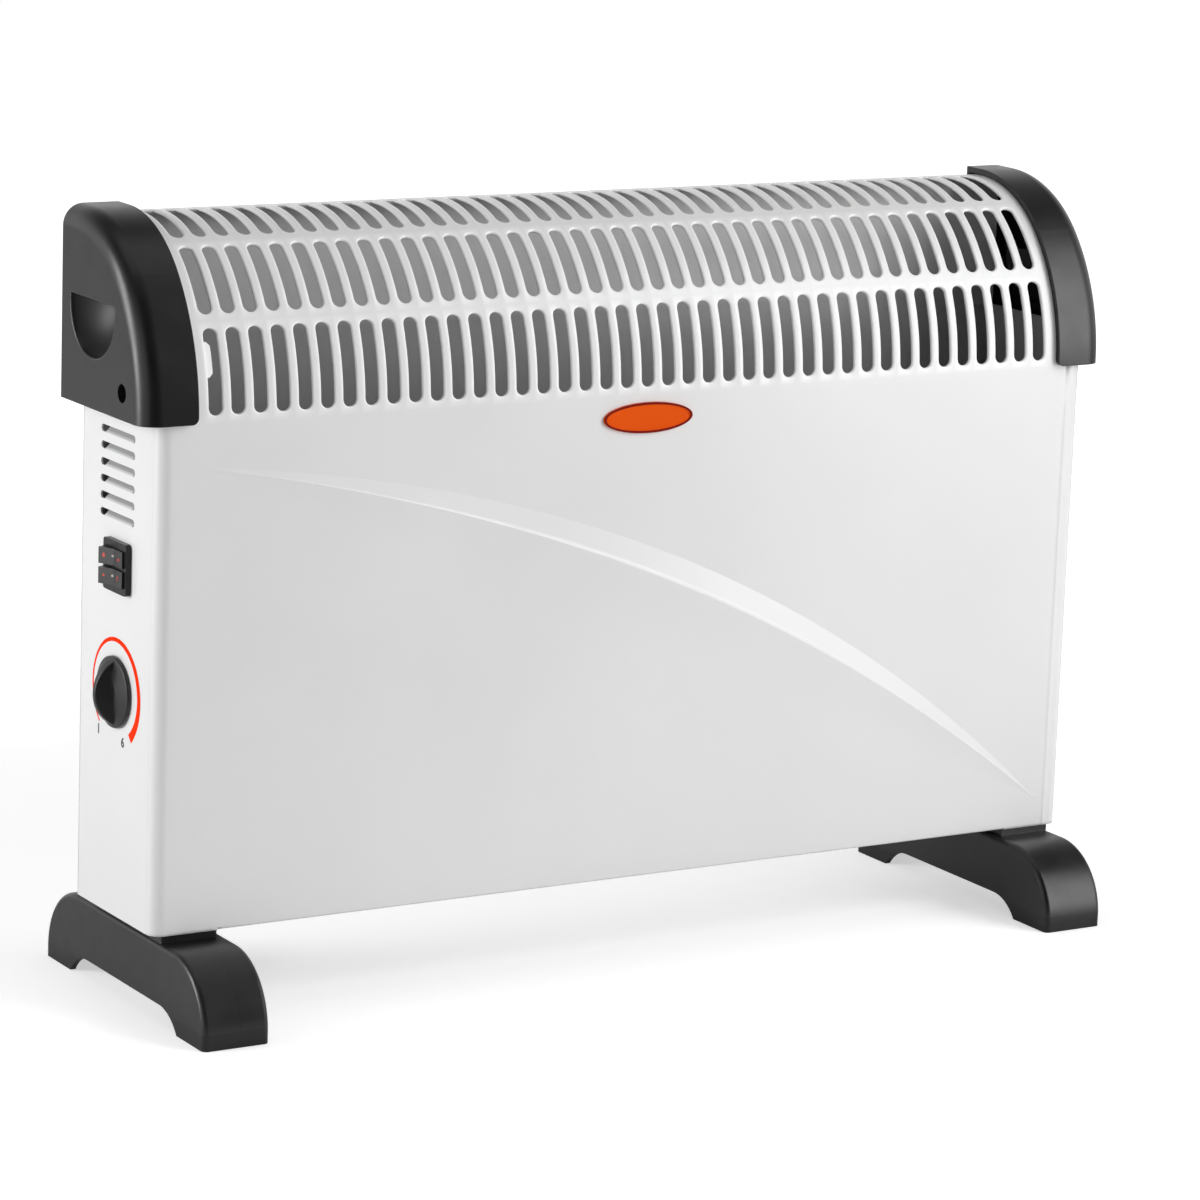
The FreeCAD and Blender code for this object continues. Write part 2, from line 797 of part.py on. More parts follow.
def switch_housing():
    face_x = panel_x - bezel_proud
    half_wide = bezel_width / 2
    half_tall = bezel_tall / 2
    bezel = box(face_x, panel_x, switch_y - half_wide, switch_y + half_wide,
                switch_z - half_tall, switch_z + half_tall)
    corners = [edge for edge in bezel.Edges if abs(edge.tangentAt(edge.FirstParameter).x) > 0.99]
    bezel = bezel.makeFillet(bezel_radius, corners)
    body_wide = switch_body_width() / 2
    body_tall = switch_body_tall() / 2
    body_end = inner_x + switch_depth
    body = box(panel_x, body_end, switch_y - body_wide, switch_y + body_wide,
               switch_z - body_tall, switch_z + body_tall)
    housing = bezel.fuse(body)
    cuts = []
    for side in (-1, 1):
        z = rocker_z(side)
        room = rocker_room() / 2
        reach = rocker_opening() / 2
        cuts.append(box(face_x, body_end - switch_wall, switch_y - reach, switch_y + reach,
                        z - room, z + room))
        deep = rocker_tall + 2 * (rocker_side_gap + pivot_length + pivot_end_gap)
        pivot = vec(pivot_x(), switch_y, z - deep / 2)
        cuts.append(rod(pivot_radius + pivot_play, pivot, along_z, deep))
    return housing.cut(Part.makeCompound(cuts)).removeSplitter()


def rocker(side):
    """Shallow V rocker on its own trunnions, tilted so that its rear end stands out."""
    z = rocker_z(side) - rocker_tall / 2
    centre = vec(pivot_x(), switch_y, z)
    rise = rocker_half_length * math.tan(math.radians(rocker_tilt))
    outline = [
        centre + vec(-rocker_crown, 0, 0),
        centre + vec(-rocker_crown - rise, rocker_half_length, 0),
        centre + vec(0, rocker_radius, 0),
        centre + vec(rocker_belly, rocker_half_length, 0),
        centre + vec(rocker_belly, -rocker_half_length, 0),
        centre + vec(0, -rocker_radius, 0),
        centre + vec(-rocker_crown - rise, -rocker_half_length, 0),
    ]
    body = polygon(outline).extrude(along_z * rocker_tall)
    pin = rod(pivot_radius, centre - along_z * (pivot_length + rocker_side_gap), along_z,
              rocker_tall + 2 * (pivot_length + rocker_side_gap))
    shape = body.fuse(pin)
    shape.rotate(centre, along_z, rocker_tilt)
    return shape


def switch_terminals():
    start = inner_x + switch_depth
    tabs = []
    for side in (-1, 1):
        for y in (switch_y - terminal_spread, switch_y + terminal_spread):
            z = rocker_z(side)
            tabs.append(box(start, start + terminal_length, y - terminal_width / 2, y + terminal_width / 2,
                            z - terminal_thick / 2, z + terminal_thick / 2))
    return Part.makeCompound(tabs)


def thermostat_knob():
    low = vec(panel_x - knob_lift, knob_y, knob_z)
    skirt = rod(knob_radius, low, -along_x, knob_skirt)
    edge_x = low.x - knob_skirt
    outer_edge = [edge for edge in skirt.Edges if edge_lies_at(edge, edge_x)]
    skirt = skirt.makeFillet(knob_skirt_edge, outer_edge)
    dome = Part.makeCone(knob_radius - knob_skirt_edge, knob_dome_radius, knob_dome,
                         vec(edge_x, knob_y, knob_z), -along_x)
    top_x = edge_x - knob_dome
    sunk = knob_dome + knob_skirt / 2
    half = fin_length / 2
    ends = (vec(top_x + sunk, knob_y, knob_z + half), vec(top_x + sunk, knob_y, knob_z - half))
    tip = vec(top_x - fin_height, knob_y, knob_z)
    segment = face([arc(ends[0], tip, ends[1]), line(ends[1], ends[0])])
    segment.translate(-along_y * fin_root)
    segment = segment.extrude(along_y * (2 * fin_root))
    wedge = polygon([
        vec(top_x + sunk, knob_y - fin_root / 2, knob_z - half),
        vec(top_x + sunk, knob_y + fin_root / 2, knob_z - half),
        vec(top_x - fin_height, knob_y + fin_edge / 2, knob_z - half),
        vec(top_x - fin_height, knob_y - fin_edge / 2, knob_z - half),
    ]).extrude(along_z * fin_length)
    fin = segment.common(wedge)
    bent = [edge for edge in fin.Edges if edge.Curve.TypeId != "Part::GeomLine"]
    ridge = [edge for edge in bent if edge.CenterOfMass.x < top_x]
    knob = skirt.multiFuse([dome, fin.makeFillet(fin_round, ridge)])
    nut_recess = rod(nut_corner() + nut_room, low, -along_x, bush_proud - knob_lift + nut_room)
    bore = rod(shaft_radius + shaft_press, low, -along_x, shaft_engage)
    return knob.cut(nut_recess).cut(bore).removeSplitter()


def nut_corner():
    return nut_flats / 2 / math.cos(math.radians(30))


def thermostat_shaft():
    start = vec(panel_x - knob_lift - shaft_engage, knob_y, knob_z)
    return rod(shaft_radius, start, along_x, inner_x + shaft_inside - start.x)


def thermostat_body():
    frame = box(inner_x, inner_x + stat_depth, knob_y - stat_width / 2, knob_y + stat_width / 2,
                knob_z - stat_tall / 2, knob_z + stat_tall / 2)
    bush_start = vec(panel_x - bush_proud, knob_y, knob_z)
    bush = rod(bush_radius, bush_start, along_x, bush_proud + sheet + shaft_radius)
    bore = rod(shaft_radius + shaft_play, bush_start, along_x, bush_proud + sheet + shaft_inside + shaft_play)
    return frame.fuse(bush).cut(bore)


def hexagon_nut(start, direction, corner, thick, hole):
    """Six-sided nut along X or Y."""
    sideways = along_z.cross(direction)
    points = [start + sideways * (corner * math.cos(math.radians(60 * n)))
              + along_z * (corner * math.sin(math.radians(60 * n))) for n in range(6)]
    return polygon(points).extrude(direction * thick).cut(rod(hole, start, direction, thick))


def thermostat_nut():
    seat = vec(panel_x, knob_y, knob_z)
    return hexagon_nut(seat, -along_x, nut_corner(), nut_thick, bush_radius + shaft_play)


def bent_blade(low, reach, stand):
    """Strip that stands out from the thermostat and then runs upwards."""
    start = inner_x + stat_depth
    side = blade_width / 2
    tip = start + stand
    root = box(start, tip, knob_y - side, knob_y + side, low, low + blade_thick)
    arm = box(tip - blade_thick, tip, knob_y - side, knob_y + side, low, low + reach)
    return joined([root, arm])


def bimetal_blade():
    return bent_blade(knob_z - stat_tall / 2 + blade_thick, bimetal_reach - 2 * blade_thick, bimetal_stand)


def contact_blade():
    return bent_blade(knob_z + blade_width / 2 - contact_reach / 2, contact_reach, contact_stand)


def control_partition():
    right = partition_x + sheet
    rear = rear_y - 2 * sheet - fold_gap
    plate = box(partition_x, right, front_y, rear, base_top, partition_top)
    plate = plate.common(under_top(-sheet - fold_gap, 0, base_top, partition_x, right))
    floor = box(partition_x - partition_flange, right, seam_y + 2 * sheet, rear, base_top, base_top + sheet)
    panel = joined([plate, floor])
    bush_hole = ceramic_radius + element_play
    holes = [rod(bush_hole, place, along_x, sheet) for place in element_places(partition_x)]
    neck = rod(cutout_neck_radius + cutout_play, cutout_place(), along_x, sheet)
    return panel.cut(Part.makeCompound(holes + foot_screw_holes(-foot_x) + [neck]))


def element_places(x):
    places = []
    for z in (lower_element_z, upper_element_z):
        places += [vec(x, casing_setback + side * element_bend, z) for side in (-1, 1)]
    return places


def heating_element(level):
    """Sheathed hairpin: two legs joined by a half turn, with a cold pin on each leg."""
    front, rear = element_places(partition_x - element_tail)[2 * level:2 * level + 2]
    run = element_end - front.x
    legs = [rod(element_radius, place, along_x, run) for place in (front, rear)]
    centre = vec(element_end, casing_setback, front.z)
    ring = Part.makeTorus(element_bend, element_radius, centre, along_z)
    reach = element_bend + 2 * element_radius
    half = box(centre.x, centre.x + reach, centre.y - reach, centre.y + reach,
               centre.z - reach, centre.z + reach)
    pins = [rod(pin_radius, place, -along_x, pin_length) for place in (front, rear)]
    return joined(legs + [ring.common(half)] + pins)


def ceramic_bushes():
    """Flanged bushes that carry the elements' legs in the partition."""
    bushes = []
    for place in element_places(partition_x + sheet):
        flange = rod(ceramic_flange_radius, place, along_x, ceramic_flange)
        neck = rod(ceramic_radius, place, -along_x, sheet + ceramic_neck)
        bore = rod(element_radius + element_play, place - along_x * (sheet + ceramic_neck), along_x,
                   sheet + ceramic_neck + ceramic_flange)
        bushes.append(flange.fuse(neck).cut(bore))
    return Part.makeCompound(bushes)


def element_bracket(x):
    top = upper_element_z + bracket_margin
    half = bracket_width / 2
    plate = box(x, x + sheet, casing_setback - half, casing_setback + half, base_top, top)
    foot = box(x, x + bracket_foot, casing_setback - half, casing_setback + half, base_top, base_top + sheet)
    holes = [rod(element_radius + bracket_play, place, along_x, sheet) for place in element_places(x)]
    return joined([plate, foot]).cut(Part.makeCompound(holes))


def cutout_place():
    """Half way up between the thermostat and the switch."""
    low = knob_z + stat_tall / 2
    high = switch_z - switch_body_tall() / 2
    return vec(partition_x, casing_setback, (low + high) / 2)


def thermal_cutout():
    place = cutout_place() + along_x * sheet
    disc = rod(cutout_radius, place, along_x, cutout_thick)
    neck = rod(cutout_neck_radius, place, -along_x, sheet + cutout_neck)
    return disc.fuse(neck)


def cutout_terminals():
    start = cutout_place() - along_x * cutout_neck
    tabs = []
    for side in (-1, 1):
        y = start.y + side * cutout_blade_spread / 2
        tabs.append(box(start.x - cutout_blade_length, start.x,
                        y - terminal_thick / 2, y + terminal_thick / 2,
                        start.z - cutout_blade_width / 2, start.z + cutout_blade_width / 2))
    return Part.makeCompound(tabs)


def block_corner():
    """Lower front left corner of the terminal block, which stands on the base grille."""
    return vec(inner_x + block_inset, rear_y - 2 * sheet - block_back - block_length, base_top)


def block_ways_y():
    pitch = block_length / block_ways
    return [block_corner().y + pitch * (n + 0.5) for n in range(block_ways)]


def terminal_block():
    corner = block_corner()
    block = Part.makeBox(block_width, block_length, block_tall, corner)
    middle = corner.x + block_width / 2
    cuts = []
    for y in block_ways_y():
        cuts.append(rod(block_screw_radius + element_play, vec(middle, y, corner.z + block_tall), -along_z,
                        block_screw_length + block_bore_radius))
        cuts.append(rod(block_bore_radius, vec(corner.x, y, corner.z + block_tall / 3), along_x, block_width))
    return block.cut(Part.makeCompound(cuts))


def terminal_screws():
    corner = block_corner()
    middle = corner.x + block_width / 2
    top = corner.z + block_tall
    return Part.makeCompound([rod(block_screw_radius, vec(middle, y, top), -along_z, block_screw_length)
                              for y in block_ways_y()])


def gland_place():
    """Half way between the side panel's rear flange and the partition."""
    return vec((panel_x + side_rear_flange + partition_x) / 2, rear_y, casing_bottom + gland_rise)


def cord_gland():
    place = gland_place()
    flange = rod(gland_flange_radius, place, along_y, gland_flange)
    neck = rod(gland_neck_radius, place, -along_y, gland_neck)
    bore = rod(gland_bore_radius, place + along_y * gland_flange, -along_y, gland_flange + gland_neck)
    return flange.fuse(neck).cut(bore)


def gland_nut_ring():
    place = gland_place() - along_y * sheet
    return hexagon_nut(place, -along_y, gland_nut_radius, gland_nut, gland_neck_radius + gland_play)


def wire(points):
    """Round wire along straight runs joined by arcs as large as the runs leave room for."""
    edges = []
    start = points[0]
    for before, bend, after in zip(points, points[1:], points[2:]):
        inwards = (before - bend).normalize()
        onwards = (after - bend).normalize()
        half_turn = (math.pi - inwards.getAngle(onwards)) / 2
        shorter = min((before - bend).Length, (after - bend).Length)
        radius = min(wire_bend, wire_bend_share * shorter / math.tan(half_turn))
        reach = radius * math.tan(half_turn)
        first = bend + inwards * reach
        last = bend + onwards * reach
        towards = (inwards + onwards).normalize()
        middle = bend + towards * (radius / math.cos(half_turn) - radius)
        edges.append(line(start, first))
        edges.append(arc(first, middle, last))
        start = last
    edges.append(line(start, points[-1]))
    path = Part.Wire(edges)
    ring = Part.Wire([Part.Circle(points[0], points[1] - points[0], wire_radius).toShape()])
    return path.makePipeShell([ring], True, False)


def internal_wires():
    """Live lead, switch to thermostat, thermostat to cutout, cutout to elements, neutral lead."""
    corner = block_corner()
    block_x = corner.x + block_width
    entry_z = corner.z + block_tall / 3
    live_y = block_ways_y()[0]
    neutral_y = block_ways_y()[-1]
    tab_x = inner_x + switch_depth
    tab_z = rocker_z(-1) - terminal_thick / 2 - wire_gap
    stat_x = inner_x + stat_depth
    front_pin, rear_pin = element_places(partition_x - element_tail - pin_length)[2:]
    blade = cutout_place() - along_x * (cutout_neck + cutout_blade_length)
    half_spread = along_y * (cutout_blade_spread / 2)
    live_x = tab_x + 2 * wire_radius
    back = -along_x * (2 * wire_stand)
    out = wire_stand + wire_radius
    switched_y = switch_y - terminal_spread - terminal_width / 3
    low_z = knob_z - stat_tall / 4
    top_z = knob_z + stat_tall / 2
    side_y = knob_y - stat_width / 2 - wire_clear
    live = [
        vec(block_x - wire_in_block, live_y, entry_z),
        vec(live_x, live_y, entry_z),
        vec(live_x, switch_y + terminal_spread, tab_z),
    ]
    switched = [
        vec(tab_x + out, switched_y, tab_z),
        vec(tab_x + out, switched_y, low_z),
        vec(stat_x, switched_y, low_z),
    ]
    first_blade = blade - half_spread
    regulated = [
        vec(first_blade.x + back.x, first_blade.y, top_z),
        first_blade + back,
        first_blade,
    ]
    second_blade = blade + half_spread
    heating = [
        second_blade,
        second_blade + back,
        vec(front_pin.x - wire_stand, side_y, second_blade.z - wire_bend),
        vec(front_pin.x - wire_stand, front_pin.y, front_pin.z),
        front_pin,
    ]
    riser_x = block_x + out
    neutral = [
        vec(block_x - wire_in_block, neutral_y, entry_z),
        vec(riser_x, neutral_y, entry_z),
        vec(riser_x, neutral_y, rear_pin.z - 2 * wire_bend),
        rear_pin + back,
        rear_pin,
    ]
    return Part.makeCompound([wire(points) for points in (live, switched, regulated, heating, neutral)])


pieces = {
    "front_panel": front_panel(),
    "rear_panel": rear_panel(),
    "left_side_panel": left_side_panel(),
    "right_side_panel": mirrored(plain_side()),
    "base_grille": base_grille(),
    "left_end_cap": left_end_cap(),
    "right_end_cap": mirrored(left_end_cap()),
    "end_cap_screws": end_cap_screws(),
    "panel_screws": panel_screws(),
    "left_foot": mirrored(right_foot()),
    "right_foot": right_foot(),
    "foot_screws": foot_screws(),
    "oval_badge": oval_badge(),
    "switch_housing": switch_housing(),
    "upper_rocker": rocker(1),
    "lower_rocker": rocker(-1),
    "switch_terminals": switch_terminals(),
    "thermostat_knob": thermostat_knob(),
    "thermostat_shaft": thermostat_shaft(),
    "thermostat_body": thermostat_body(),
    "thermostat_nut": thermostat_nut(),
    "bimetal_blade": bimetal_blade(),
    "contact_blade": contact_blade(),
    "control_partition": control_partition(),
    "lower_heating_element": heating_element(0),
    "upper_heating_element": heating_element(1),
    "ceramic_bushes": ceramic_bushes(),
    "middle_element_bracket": element_bracket(0),
    "right_element_bracket": element_bracket(element_end - bracket_end_gap),
    "thermal_cutout": thermal_cutout(),
    "cutout_terminals": cutout_terminals(),
    "terminal_block": terminal_block(),
    "terminal_screws": terminal_screws(),
    "cord_gland": cord_gland(),
    "gland_nut": gland_nut_ring(),
    "internal_wires": internal_wires(),
}

for name, shape in pieces.items():
    shape.exportStep("parts/" + name + ".step")
    extent = shape.BoundBox
    print(name, len(shape.Solids), shape.isValid(), round(shape.Volume), round(extent.XLength, 1),
          round(extent.YLength, 1), round(extent.ZLength, 1))
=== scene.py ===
import bpy
import bmesh
import json
import math
import numpy as np
from mathutils import Matrix, Vector
from mathutils.bvhtree import BVHTree


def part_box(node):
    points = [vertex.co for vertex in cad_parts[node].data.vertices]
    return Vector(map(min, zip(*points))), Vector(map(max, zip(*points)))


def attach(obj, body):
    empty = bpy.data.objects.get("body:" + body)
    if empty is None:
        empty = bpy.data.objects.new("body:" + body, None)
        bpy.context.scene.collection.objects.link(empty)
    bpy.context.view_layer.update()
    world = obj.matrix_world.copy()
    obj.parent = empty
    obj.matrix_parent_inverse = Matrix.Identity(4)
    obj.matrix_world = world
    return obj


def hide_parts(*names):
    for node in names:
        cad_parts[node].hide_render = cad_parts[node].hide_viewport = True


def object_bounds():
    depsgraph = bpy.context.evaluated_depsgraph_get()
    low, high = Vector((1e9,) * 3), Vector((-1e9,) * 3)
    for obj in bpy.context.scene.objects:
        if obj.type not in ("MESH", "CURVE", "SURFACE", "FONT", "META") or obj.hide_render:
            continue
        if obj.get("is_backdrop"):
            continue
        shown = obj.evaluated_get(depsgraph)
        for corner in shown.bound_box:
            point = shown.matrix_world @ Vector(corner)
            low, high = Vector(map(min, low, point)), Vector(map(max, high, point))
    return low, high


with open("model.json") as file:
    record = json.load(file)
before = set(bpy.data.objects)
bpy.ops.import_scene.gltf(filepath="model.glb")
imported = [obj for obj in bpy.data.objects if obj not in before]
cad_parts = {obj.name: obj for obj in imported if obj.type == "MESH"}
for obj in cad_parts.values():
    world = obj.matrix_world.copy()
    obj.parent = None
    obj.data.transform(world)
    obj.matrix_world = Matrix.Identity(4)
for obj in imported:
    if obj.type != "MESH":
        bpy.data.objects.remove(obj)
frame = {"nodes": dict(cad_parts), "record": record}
cadLow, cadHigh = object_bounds()
nodes = frame["nodes"]
scene = bpy.context.scene
mm = 0.001


def boxMm(node):
    low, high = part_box(node)
    return low / mm, high / mm


# shader helpers
def addNode(tree, kind, values=None, **settings):
    node = tree.nodes.new(kind)
    for key, value in settings.items():
        setattr(node, key, value)
    for key, value in (values or {}).items():
        node.inputs[key].default_value = value
    return node


def startGroup(name, inputs, outputs):
    tree = bpy.data.node_groups.new(name, "ShaderNodeTree")
    for label, kind, value in inputs:
        socket = tree.interface.new_socket(name=label, in_out="INPUT", socket_type=kind)
        socket.default_value = value
    for label, kind in outputs:
        tree.interface.new_socket(name=label, in_out="OUTPUT", socket_type=kind)
    given = tree.nodes.new("NodeGroupInput")
    result = tree.nodes.new("NodeGroupOutput")
    return tree, given, result


def addNoise(tree, place, scale, detail, stretch=None):
    noise = addNode(tree, "ShaderNodeTexNoise", {"Detail": detail})
    if isinstance(scale, float):
        noise.inputs["Scale"].default_value = scale
    else:
        tree.links.new(scale, noise.inputs["Scale"])
    if stretch:
        shaped = addNode(tree, "ShaderNodeMapping", {"Scale": stretch})
        tree.links.new(place, shaped.inputs["Vector"])
        place = shaped.outputs["Vector"]
    tree.links.new(place, noise.inputs["Vector"])
    return noise.outputs["Fac"]


def addRange(tree, value, fromLow, fromHigh, toLow=0.0, toHigh=1.0):
    stretched = addNode(tree, "ShaderNodeMapRange", {"From Min": fromLow, "From Max": fromHigh})
    tree.links.new(value, stretched.inputs["Value"])
    for key, limit in (("To Min", toLow), ("To Max", toHigh)):
        if isinstance(limit, float):
            stretched.inputs[key].default_value = limit
        else:
            tree.links.new(limit, stretched.inputs[key])
    return stretched.outputs["Result"]


def addMath(tree, operation, first, second=None):
    node = addNode(tree, "ShaderNodeMath", operation=operation)
    for index, value in enumerate((first, second)):
        if value is None:
            continue
        if isinstance(value, float):
            node.inputs[index].default_value = value
        else:
            tree.links.new(value, node.inputs[index])
    return node.outputs[0]


def addTint(tree, factor, first, second):
    tint = addNode(tree, "ShaderNodeMix", data_type="RGBA")
    tree.links.new(factor, tint.inputs[0])
    for index, colour in ((6, first), (7, second)):   # the mix node's two colour sockets
        if isinstance(colour, tuple):
            tint.inputs[index].default_value = colour
        else:
            tree.links.new(colour, tint.inputs[index])
    return tint.outputs[2]   # its colour result


def objectAxes(tree):   # X, Y and Z on the piece, for marks painted by place
    axes = addNode(tree, "ShaderNodeSeparateXYZ")
    tree.links.new(addNode(tree, "ShaderNodeTexCoord").outputs["Object"], axes.inputs["Vector"])
    return axes.outputs


colourKind = "NodeSocketColor"
floatKind = "NodeSocketFloat"
finishOutputs = (("Colour", colourKind), ("Roughness", floatKind), ("Height", floatKind))
spread = (0.3, 0.7)   # the part of a noise that a mask is stretched over

# baked paint: fine orange peel, faint cloudiness
coatNoise = {"peelDetail": 2.0, "cloudScale": 9.0, "cloudDetail": 3.0,
             "smearScale": 55.0, "smearDetail": 4.0}


def buildPowderCoat(look):
    inputs = (
        ("Paint", colourKind, (0.8, 0.8, 0.8, 1)),
        ("Shaded Paint", colourKind, (0.76, 0.76, 0.76, 1)),
        ("Peel Scale", floatKind, 650.0),
        ("Rough Low", floatKind, 0.28),
        ("Rough High", floatKind, 0.4),
    )
    tree, given, result = startGroup("powderCoat", inputs, finishOutputs)
    place = addNode(tree, "ShaderNodeTexCoord").outputs["Object"]
    peel = addNoise(tree, place, given.outputs["Peel Scale"], look["peelDetail"])
    cloud = addRange(tree, addNoise(tree, place, look["cloudScale"], look["cloudDetail"]), *spread)
    smear = addRange(tree, addNoise(tree, place, look["smearScale"], look["smearDetail"]), *spread,
                     given.outputs["Rough Low"], given.outputs["Rough High"])
    colour = addTint(tree, cloud, given.outputs["Paint"], given.outputs["Shaded Paint"])
    tree.links.new(colour, result.inputs["Colour"])
    tree.links.new(smear, result.inputs["Roughness"])
    tree.links.new(peel, result.inputs["Height"])
    return tree


# spark-eroded moulding: tiny pits, slow change of tone
grainNoise = {"grainDetail": 3.0, "flowScale": 16.0, "flowDetail": 4.0,
              "rubScale": 70.0, "rubDetail": 4.0, "rubSpread": (0.32, 0.68)}


def buildMouldGrain(look):
    inputs = (
        ("Deep", colourKind, (0.02, 0.02, 0.02, 1)),
        ("Pale", colourKind, (0.03, 0.03, 0.03, 1)),
        ("Grain Scale", floatKind, 2400.0),
        ("Rough Low", floatKind, 0.4),
        ("Rough High", floatKind, 0.5),
    )
    tree, given, result = startGroup("mouldGrain", inputs, finishOutputs)
    place = addNode(tree, "ShaderNodeTexCoord").outputs["Object"]
    grain = addNoise(tree, place, given.outputs["Grain Scale"], look["grainDetail"])
    flow = addRange(tree, addNoise(tree, place, look["flowScale"], look["flowDetail"]), *spread)
    rub = addRange(tree, addNoise(tree, place, look["rubScale"], look["rubDetail"]), *look["rubSpread"],
                   given.outputs["Rough Low"], given.outputs["Rough High"])
    colour = addTint(tree, flow, given.outputs["Deep"], given.outputs["Pale"])
    tree.links.new(colour, result.inputs["Colour"])
    tree.links.new(rub, result.inputs["Roughness"])
    tree.links.new(grain, result.inputs["Height"])
    return tree


# rolled or drawn metal: long fine streaks along X, patchy tarnish
streakNoise = {"streakDetail": 3.0, "stretch": (0.06, 1.0, 1.0), "streakSpread": (0.25, 0.75),
               "patchScale": 45.0, "patchDetail": 4.0}


def buildDrawnMetal(look):
    inputs = (
        ("Deep", colourKind, (0.4, 0.4, 0.4, 1)),
        ("Pale", colourKind, (0.6, 0.6, 0.6, 1)),
        ("Streak Scale", floatKind, 300.0),
        ("Rough Low", floatKind, 0.25),
        ("Rough High", floatKind, 0.45),
    )
    tree, given, result = startGroup("drawnMetal", inputs, finishOutputs)
    place = addNode(tree, "ShaderNodeTexCoord").outputs["Object"]
    streak = addNoise(tree, place, given.outputs["Streak Scale"], look["streakDetail"], look["stretch"])
    patch = addRange(tree, addNoise(tree, place, look["patchScale"], look["patchDetail"]), *spread)
    rough = addRange(tree, streak, *look["streakSpread"],
                     given.outputs["Rough Low"], given.outputs["Rough High"])
    colour = addTint(tree, patch, given.outputs["Deep"], given.outputs["Pale"])
    tree.links.new(colour, result.inputs["Colour"])
    tree.links.new(rough, result.inputs["Roughness"])
    tree.links.new(streak, result.inputs["Height"])
    return tree


effects = {
    "powderCoat": buildPowderCoat(coatNoise),
    "mouldGrain": buildMouldGrain(grainNoise),
    "drawnMetal": buildDrawnMetal(streakNoise),
}
arrisSamples = 4


def makeFinish(name, effect, values, bumpDepth, shader, edge=0.0):
    material = bpy.data.materials.new(name)
    material.use_nodes = True
    tree = material.node_tree
    surface = tree.nodes["Principled BSDF"]
    group = addNode(tree, "ShaderNodeGroup", node_tree=effects[effect])
    for key, value in values.items():
        group.inputs[key].default_value = value
    bump = addNode(tree, "ShaderNodeBump", {"Strength": 1.0, "Distance": bumpDepth * mm})
    tree.links.new(group.outputs["Height"], bump.inputs["Height"])
    tree.links.new(bump.outputs["Normal"], surface.inputs["Normal"])
    if edge:   # softened arris
        arris = addNode(tree, "ShaderNodeBevel", {"Radius": edge * mm}, samples=arrisSamples)
        tree.links.new(arris.outputs["Normal"], bump.inputs["Normal"])
    tree.links.new(group.outputs["Colour"], surface.inputs["Base Color"])
    tree.links.new(group.outputs["Roughness"], surface.inputs["Roughness"])
    for key, value in shader.items():
        surface.inputs[key].default_value = value
    return material


def openFinish(material):   # its tree, shader and effect group
    tree = material.node_tree
    group = [node for node in tree.nodes if node.type == "GROUP"][0]
    return tree, tree.nodes["Principled BSDF"], group


def grey(level):
    return (level, level, level, 1.0)


